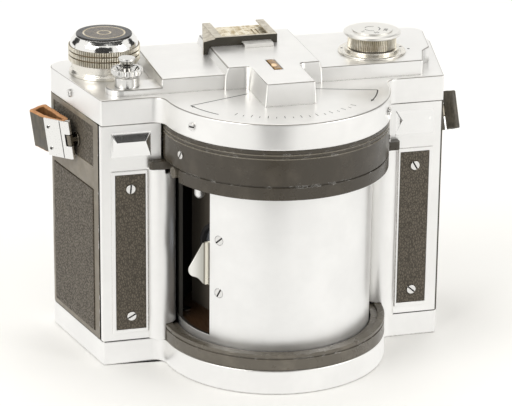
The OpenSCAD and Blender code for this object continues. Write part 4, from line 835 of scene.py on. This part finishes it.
def number(name, text, x, y, turn, size, height, body):
    """Engraves a number."""
    figures = bpy.data.curves.new(name + "_outline", "FONT")
    figures.body = text
    figures.size = size * MM
    figures.align_x = "CENTER"
    figures.align_y = "CENTER"
    outline = bpy.data.objects.new(name + "_outline", figures)
    bpy.context.scene.collection.objects.link(outline)
    graph = bpy.context.evaluated_depsgraph_get()
    flat = bpy.data.meshes.new_from_object(outline.evaluated_get(graph))
    bpy.data.objects.remove(outline)
    bm = bmesh.new()
    bm.from_mesh(flat)
    bpy.data.meshes.remove(flat)
    place = Matrix.Translation((x * MM, y * MM, height * MM)) @ Matrix.Rotation(turn, 4, "Z")
    bmesh.ops.transform(bm, matrix=place, verts=bm.verts)
    engraving(bm, name, body)


def arc_points(radius, start, end, count, centre=(0.0, 0.0)):
    """Points on a circle between two azimuths, 0 at the front and growing to the right."""
    points = []
    for i in range(count):
        a = math.radians(start + (end - start) * i / (count - 1))
        points.append((centre[0] + radius * math.sin(a), centre[1] - radius * math.cos(a)))
    return points


# Finishes of the solids

for name, (material, width) in FINISH.items():
    if width > 0:
        bevelled_copy(name, material, width)
    else:
        paint(frame["nodes"][name], material)

coil = frame["nodes"]["release_spring"].data.copy()
spring = stand_in("release_spring", "release_spring_coil", coil, steel)
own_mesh(spring)

# Angle lines and ticks engraved on the half-round plate, in millimetres and degrees

LINE_W = 0.5
LINE_START = 13.0
LINE_AZ = {-1: 70.0, 1: 73.0}
ARC_END = {-1: 48.5, 1: 52.0}
ARC_POINTS = 16
HEAD_W = 1.5
TICK_W = 0.28
TICK_R = 37.6
TICK_AZ = 40
TICK_STEP = 5
TICK_LONG, TICK_SHORT = 2.6, 1.5
PLATE_TOP = Z_DECK + LINE_LIFT

for side, tag in SIDES:
    a = math.radians(LINE_AZ[side] * side)
    ray = [(r * math.sin(a), -r * math.cos(a)) for r in (LINE_START, BULGE_ARC_R)]
    strip(f"angle_line_{tag}", ray, LINE_W, PLATE_TOP, "camera_body")
    sweep = arc_points(BULGE_ARC_R, LINE_AZ[side] * side, ARC_END[side] * side, ARC_POINTS)
    strip(f"angle_arc_{tag}", sweep, LINE_W, PLATE_TOP, "camera_body")
    tip, root = (sweep[0], sweep[2]) if side < 0 else (sweep[-1], sweep[-3])
    wedge(f"angle_head_{tag}", tip, root, HEAD_W, PLATE_TOP, "camera_body")
for az in range(-TICK_AZ, TICK_AZ + 1, TICK_STEP):
    reach = TICK_LONG if az % (2 * TICK_STEP) == 0 else TICK_SHORT
    tick = [arc_points(r, az, az, 2)[0] for r in (TICK_R - reach, TICK_R)]
    strip(f"angle_tick_{az + TICK_AZ}", tick, TICK_W, PLATE_TOP, "camera_body")

# Broken ring and numbers on the speed dial, and an index beside it, in millimetres and degrees

DIAL_AT = middle("dial_cap") / MM
DIAL_TOP = top_of("dial_cap") + LINE_LIFT
DIAL_RING_R = 3.1
DIAL_RING_W = 0.35
DIAL_RING_AZ = (32.0, 152.0, 272.0)
DIAL_RING_SPAN = 84.0
DIAL_NUMBER_R = 5.6
DIAL_NUMBER_H = 2.2
DIAL_NUMBERS = {-60.0: "2", 0.0: "50", 60.0: "200"}
INDEX_AT = (61.1, 19.3)
MARK_R = 0.55

for i, az in enumerate(DIAL_RING_AZ):
    points = arc_points(DIAL_RING_R, az, az + DIAL_RING_SPAN, ARC_POINTS, DIAL_AT)
    strip(f"dial_ring_{i}", points, DIAL_RING_W, DIAL_TOP, "dial")
for i, (az, text) in enumerate(DIAL_NUMBERS.items()):
    turn = math.radians(az)
    x = DIAL_AT.x + DIAL_NUMBER_R * math.sin(turn)
    y = DIAL_AT.y - DIAL_NUMBER_R * math.cos(turn)
    number(f"dial_number_{i}", text, x, y, turn, DIAL_NUMBER_H, DIAL_TOP, "dial")
dot("deck_index", *INDEX_AT, MARK_R, Z_UPPER + LINE_LIFT, "camera_body")

# Dark joint between each front panel and the base, at the bottom of the rounded edge, in millimetres

JOINT_Z = (9.95, 10.36)
JOINT_X = (46.6, 69.4)
JOINT_Y = 0.1

for side, tag in SIDES:
    joint_mesh = bmesh.new()
    corners = [(JOINT_X[i] * side, JOINT_Z[k]) for i, k in ((0, 0), (1, 0), (1, 1), (0, 1))]
    joint_mesh.faces.new([joint_mesh.verts.new(Vector((x, JOINT_Y, z)) * MM) for x, z in corners[::side]])
    black_piece(joint_mesh, "base_joint_" + tag, "camera_body")

# Round-ended stud under the drum's top, seen in the window: its reach from the drum's axis, its azimuth, its
# radius, its heights, its number of sides and the step of its round end in degrees

STUD_REACH, STUD_AZ = 34.0, -74.8
STUD_R = 2.1
STUD_TOP, STUD_LOW = 78.8, 71.4
STUD_SIDES = 32
END_STEP = 15

turn = math.radians(STUD_AZ)
stud_x, stud_y = STUD_REACH * math.sin(turn), -STUD_REACH * math.cos(turn)
profile = [(STUD_R, STUD_TOP), (STUD_R, STUD_LOW + STUD_R)]
for degrees in range(END_STEP, 90, END_STEP):
    a = math.radians(degrees)
    profile.append((STUD_R * math.cos(a), STUD_LOW + STUD_R - STUD_R * math.sin(a)))
stud_mesh = bmesh.new()
rows = []
for r, z in profile:
    row = []
    for i in range(STUD_SIDES):
        a = math.tau * i / STUD_SIDES
        row.append(stud_mesh.verts.new(Vector((stud_x + r * math.cos(a), stud_y + r * math.sin(a), z)) * MM))
    rows.append(row)
for above, below in zip(rows, rows[1:]):
    for i in range(STUD_SIDES):
        stud_mesh.faces.new((above[i - 1], below[i - 1], below[i], above[i]))
stud_mesh.faces.new(rows[0])
stud_mesh.faces.new(reversed(rows[-1]))
stud = new_object("window_stud", finished_mesh(stud_mesh, "window_stud"))
paint(stud, satin)
smooth(stud)
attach(stud, "lens_drum")

# Strap loops

# Points round each bend of a loop, and the step between the points of its path, in millimetres
BEND_POINTS = 11
LOOP_STEP = 0.5
# How far the cut edges are rounded, in millimetres, and the share of it at the middle of the round
EDGE_SOFT = 0.4
EDGE_MIDDLE = 0.3
# Rows of faces round the band that are its outer and its inner side
OUTER_ROWS = (0, 1)
INNER_ROWS = (7, 8)


def strap_place(side, x, y, z):
    """A point of the strap's frame, in the part's frame in metres."""
    lean = STRAP_LEAN[side]
    droop = STRAP_DROOP[side]
    y, z = y * math.cos(droop) + z * math.sin(droop), z * math.cos(droop) - y * math.sin(droop)
    x, z = x * math.cos(lean) + z * math.sin(lean), z * math.cos(lean) - x * math.sin(lean)
    x, y, z = x + LUG[0], y + LUG[1], z + LUG[2]
    x, y = x * math.cos(FLARE) + y * math.sin(FLARE), y * math.cos(FLARE) - x * math.sin(FLARE)
    return Vector((side * (x + FRONT_W / 2) * MM, y * MM, z * MM))


def strap_corners(side):
    """The middles of the loop's bends, in the strap's frame."""
    turn = Matrix.Rotation(math.pi / 2 - STRAP_SPREAD[side], 2)
    near = [turn @ Vector((x, y * -side)) for x, y in CLIP_CORNERS]
    return near + [Vector(corner) for corner in FAR_CORNERS[side]]


def wrapped(corners):
    """Closed path of a band pulled round posts at these corners."""
    centre = sum(corners, Vector((0.0, 0.0))) / len(corners)
    ring = sorted(corners, key=lambda p: math.atan2(p.y - centre.y, p.x - centre.x))
    path = []
    for i, p in enumerate(ring):
        before = p - ring[i - 1]
        after = ring[(i + 1) % len(ring)] - p
        start = math.atan2(-before.x, before.y)
        turn = (math.atan2(-after.x, after.y) - start) % (2 * math.pi)
        for k in range(BEND_POINTS):
            a = start + turn * k / (BEND_POINTS - 1)
            path.append(p + BEND_R * Vector((math.cos(a), math.sin(a))))
    return path


def resampled(path):
    """The closed path at even steps."""
    ring = path + path[:1]
    lengths = [0.0]
    for a, b in zip(ring, ring[1:]):
        lengths.append(lengths[-1] + (b - a).length)
    count = round(lengths[-1] / LOOP_STEP)
    points = []
    k = 0
    for i in range(count):
        goal = lengths[-1] * i / count
        while lengths[k + 1] < goal:
            k += 1
        share = (goal - lengths[k]) / max(1e-9, lengths[k + 1] - lengths[k])
        points.append(ring[k].lerp(ring[k + 1], share))
    return points


def waver(i):
    """How far a hand-cut band strays up or down at its point i, in millimetres."""
    return 0.10 * math.sin(i * 0.31) + 0.06 * math.sin(i * 0.83 + 1.0)


def band_section():
    """Depth and height of the points round the band, from the foot of its outer side."""
    half = STRAP_H / 2
    part = EDGE_SOFT * EDGE_MIDDLE
    rows = [
        (0.0, -half + EDGE_SOFT), (0.0, 0.0), (0.0, half - EDGE_SOFT), (part, half - part), (EDGE_SOFT, half),
        (STRAP_T - EDGE_SOFT, half), (STRAP_T - part, half - part),
    ]
    return rows + [(STRAP_T - depth, -z) for depth, z in rows]


def strap_loop(side, tag):
    """Makes a closed band of leather on edge: dark outside and raw inside, with pale cuts on the left one."""
    path = resampled(wrapped(strap_corners(side)))
    section = band_section()
    bm = bmesh.new()
    rings = []
    for i, p in enumerate(path):
        along = (path[(i + 1) % len(path)] - path[i - 1]).normalized()
        inward = Vector((-along.y, along.x))
        ring = []
        for depth, z in section:
            q = p + inward * depth
            ring.append(bm.verts.new(strap_place(side, q.x, q.y, z + waver(i))))
        rings.append(ring)
    size = len(section)
    for i, a in enumerate(rings):
        b = rings[(i + 1) % len(rings)]
        for k in range(size):
            face = bm.faces.new((a[k], b[k], b[(k + 1) % size], a[(k + 1) % size]))
            face.material_index = 0 if k in OUTER_ROWS else 1 if k in INNER_ROWS else 2
    bmesh.ops.recalc_face_normals(bm, faces=bm.faces)
    obj = new_object("strap_leather_" + tag, finished_mesh(bm, "strap_leather_" + tag))
    paint(obj, strap_dark, strap_raw, strap_cut if side < 0 else strap_dark)
    obj.data.polygons.foreach_set("use_smooth", [True] * len(obj.data.polygons))
    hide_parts("strap_" + tag)
    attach(obj, "loop_" + tag)


for side, tag in SIDES:
    strap_loop(side, tag)

# Crease and rivet heads on the clips in painted shade, and screws on the flange of the speed dial, in
# millimetres

EYE_R = 1.2
CREASE_X = 3.3
CREASE_HALF = 0.2
CREASE_LIFT = 0.02
CREASE_PAST = 0.1
RIVET_X = 9.5
RIVET_Z = 4.6
RIVET_R = 0.62
RIVET_LIFT = 0.38
RIVET_SIDES = 16
FLANGE_SCREWS = ((33.3, 20.7), (56.9, 17.1))


def on_clip(side, x, z, lift):
    """A point on a clip's outer face, in the part's frame in metres."""
    turn = Matrix.Rotation(math.pi / 2 - STRAP_SPREAD[side], 2)
    p = turn @ Vector((x, (EYE_R + lift) * side))
    return strap_place(side, p.x, p.y, z)


def clip_mark(name, side, corners, lift):
    """Makes a black mark of painted shade on a clip's outer face."""
    bm = bmesh.new()
    bm.faces.new([bm.verts.new(on_clip(side, x, z, lift)) for x, z in corners])
    black_piece(bm, name, "loop_left" if side < 0 else "loop_right")


for side, tag in SIDES:
    near, far = CREASE_X - CREASE_HALF, CREASE_X + CREASE_HALF
    edge = STRAP_H / 2 + CREASE_PAST
    crease = [(near, -edge), (far, -edge), (far, edge), (near, edge)]
    clip_mark(f"clip_crease_shade_{tag}", side, crease, CREASE_LIFT)
    for k, z in enumerate((-RIVET_Z, RIVET_Z)):
        turns = [2 * math.pi * i / RIVET_SIDES for i in range(RIVET_SIDES)]
        rivet = [(RIVET_X + RIVET_R * math.cos(a), z + RIVET_R * math.sin(a)) for a in turns]
        clip_mark(f"clip_rivet_shade_{tag}_{k}", side, rivet, RIVET_LIFT)

for i, (x, y) in enumerate(FLANGE_SCREWS):
    dot(f"flange_screw_{i}", x, y, MARK_R, top_of("dial_flange") + LINE_LIFT, "camera_body")

# Camera at the photo's place and angle, in metres, with its film's width and its focal length in millimetres

FILM_W = 36.0
FOCAL = 185.4
CLIP_NEAR, CLIP_FAR = 0.05, 50.0
CAMERA_AT = Vector((-0.2709, -0.9473, 0.4277))
AZIMUTH = math.radians(-15.542)
ELEVATION = math.radians(20.305)
ROLL = math.radians(0.580)
side_way = Vector((math.cos(AZIMUTH), math.sin(AZIMUTH), 0.0))
facing = Vector((math.sin(AZIMUTH), -math.cos(AZIMUTH), 0.0))
back = facing * math.cos(ELEVATION) + Vector((0.0, 0.0, math.sin(ELEVATION)))
top_way = back.cross(side_way)
right = side_way * math.cos(ROLL) + top_way * math.sin(ROLL)
up = top_way * math.cos(ROLL) - side_way * math.sin(ROLL)
lens = bpy.data.cameras.new("camera")
lens.sensor_width = FILM_W
lens.lens = FOCAL
lens.clip_start = CLIP_NEAR
lens.clip_end = CLIP_FAR
camera = bpy.data.objects.new("camera", lens)
bpy.context.scene.collection.objects.link(camera)
camera.matrix_world = Matrix.Translation(CAMERA_AT) @ Matrix((right, up, back)).transposed().to_4x4()
bpy.context.scene.camera = camera
bpy.context.scene.view_settings.view_transform = "Standard"

# Floor and studio, in metres

SQUARE = ((-1, -1), (1, -1), (1, 1), (-1, 1))
FLOOR_REACH = 6.0
BACKDROP = (1.0, 0.994, 0.975)
floor_mesh = bpy.data.meshes.new("floor")
floor_mesh.from_pydata([(x * FLOOR_REACH, y * FLOOR_REACH, 0.0) for x, y in SQUARE], [], [(0, 1, 2, 3)])
floor = new_object("floor", floor_mesh)
floor_look = Look("floor_white", (0.93, 0.925, 0.905), 0.0, 0.6)
floor_look.set("Specular IOR Level", 0.2)
floor_ray = floor_look.add("ShaderNodeLightPath").outputs
mirrored = floor_look.math("MAXIMUM", floor_ray["Is Glossy Ray"], floor_ray["Is Transmission Ray"])
floor_white = floor_look.add("ShaderNodeEmission", Color=(*BACKDROP, 1.0), Strength=1.0)
floor_mix = floor_look.add("ShaderNodeMixShader", Fac=mirrored)
floor_look.put(floor_mix.inputs[1], floor_look.shader.outputs["BSDF"])
floor_look.put(floor_mix.inputs[2], floor_white.outputs["Emission"])
floor_look.put(floor_look.tree.nodes["Material Output"].inputs["Surface"], floor_mix.outputs["Shader"])
paint(floor, floor_look.material)

# Share of the backdrop's white that lights the part
AMBIENT = 0.80

world = bpy.data.worlds.new("studio")
bpy.context.scene.world = world
world.use_nodes = True
world.node_tree.nodes.clear()
studio = Graph(world.node_tree)
room = studio.add("ShaderNodeBackground", Color=(*(AMBIENT * c for c in BACKDROP), 1.0))
seen = studio.add("ShaderNodeBackground", Color=(*BACKDROP, 1.0))
ray = studio.add("ShaderNodeLightPath").outputs
shown = studio.math("MAXIMUM", ray["Is Camera Ray"], ray["Is Glossy Ray"])
shown = studio.math("MAXIMUM", shown, ray["Is Transmission Ray"])
pick = studio.add("ShaderNodeMixShader")
studio.put(pick.inputs[0], shown)
studio.put(pick.inputs[1], room.outputs[0])
studio.put(pick.inputs[2], seen.outputs[0])
studio.add("ShaderNodeOutputWorld", Surface=pick.outputs[0])

card_look = Look("card_black", (0.03, 0.03, 0.03), 0.0, 0.9)


def dark_card(name, corners):
    """Puts up a black card that shows only in reflections."""
    mesh = bpy.data.meshes.new(name)
    mesh.from_pydata(corners, [], [(0, 1, 2, 3)])
    card = new_object(name, mesh)
    paint(card, card_look.material)
    card.visible_camera = False
    card.visible_diffuse = False
    card.visible_transmission = False
    card.visible_shadow = False


def upright_card(name, foot, across, half, low, high):
    """Puts up a dark card over a foot, which reaches half its width to either side."""
    heights = {-1: low, 1: high}
    dark_card(name, [foot + across * x * half + Vector((0.0, 0.0, heights[z])) for x, z in SQUARE])


# Dark cards: in front, overhead, on the floor before the part, and behind it at either side
FRONT_AT = 1.4
FRONT_HALF = FRONT_AT * math.tan(math.radians(30.0))
FRONT_LOW, FRONT_HIGH = 0.10, 1.25
OVERHEAD_HALF = 1.4
OVERHEAD_Y = {-1: -0.9, 1: 1.6}
OVERHEAD_Z = 1.5
FLOOR_CARD_AT = {-1: 0.30, 1: 1.3}
FLOOR_CARD_SPREAD = math.tan(math.radians(14.0))
FLOOR_CARD_Z = 0.001
REAR_AT = 1.5
REAR_HALF = 0.33
REAR_LOW, REAR_HIGH = 0.05, 1.0
REAR_TURNS = {"left_card": -120.0, "right_card": 120.0}

upright_card("front_card", facing * FRONT_AT, side_way, FRONT_HALF, FRONT_LOW, FRONT_HIGH)
dark_card("top_card", [Vector((x * OVERHEAD_HALF, OVERHEAD_Y[y], OVERHEAD_Z)) for x, y in SQUARE])
dark_card("floor_card", [
    (facing + side_way * x * FLOOR_CARD_SPREAD) * FLOOR_CARD_AT[y] + Vector((0.0, 0.0, FLOOR_CARD_Z))
    for x, y in SQUARE
])
for name, turn in REAR_TURNS.items():
    out = Matrix.Rotation(math.radians(turn), 3, "Z") @ facing
    upright_card(name, out * REAR_AT, Vector((-out.y, out.x, 0.0)), REAR_HALF, REAR_LOW, REAR_HIGH)

# Lamps

LAMP_AIM = Vector((0.0, 0.0, 0.06))
LAMP_COLOR = (1.0, 0.98, 0.95)


def softbox(name, place, width, height, watts):
    """Puts up a soft lamp that looks at the middle of the part."""
    lamp = bpy.data.lights.new(name, "AREA")
    lamp.shape = "RECTANGLE"
    lamp.size = width
    lamp.size_y = height
    lamp.energy = watts
    lamp.color = LAMP_COLOR
    obj = bpy.data.objects.new(name, lamp)
    bpy.context.scene.collection.objects.link(obj)
    obj.location = place
    obj.rotation_euler = (LAMP_AIM - Vector(place)).to_track_quat("-Z", "Y").to_euler()


softbox("key", (-1.05, -0.55, 0.85), 0.9, 0.8, 7.5)
softbox("fill", (0.95, -0.75, 0.60), 0.6, 0.9, 4.5)
softbox("top", (0.05, 0.45, 1.25), 0.9, 0.9, 4.2)
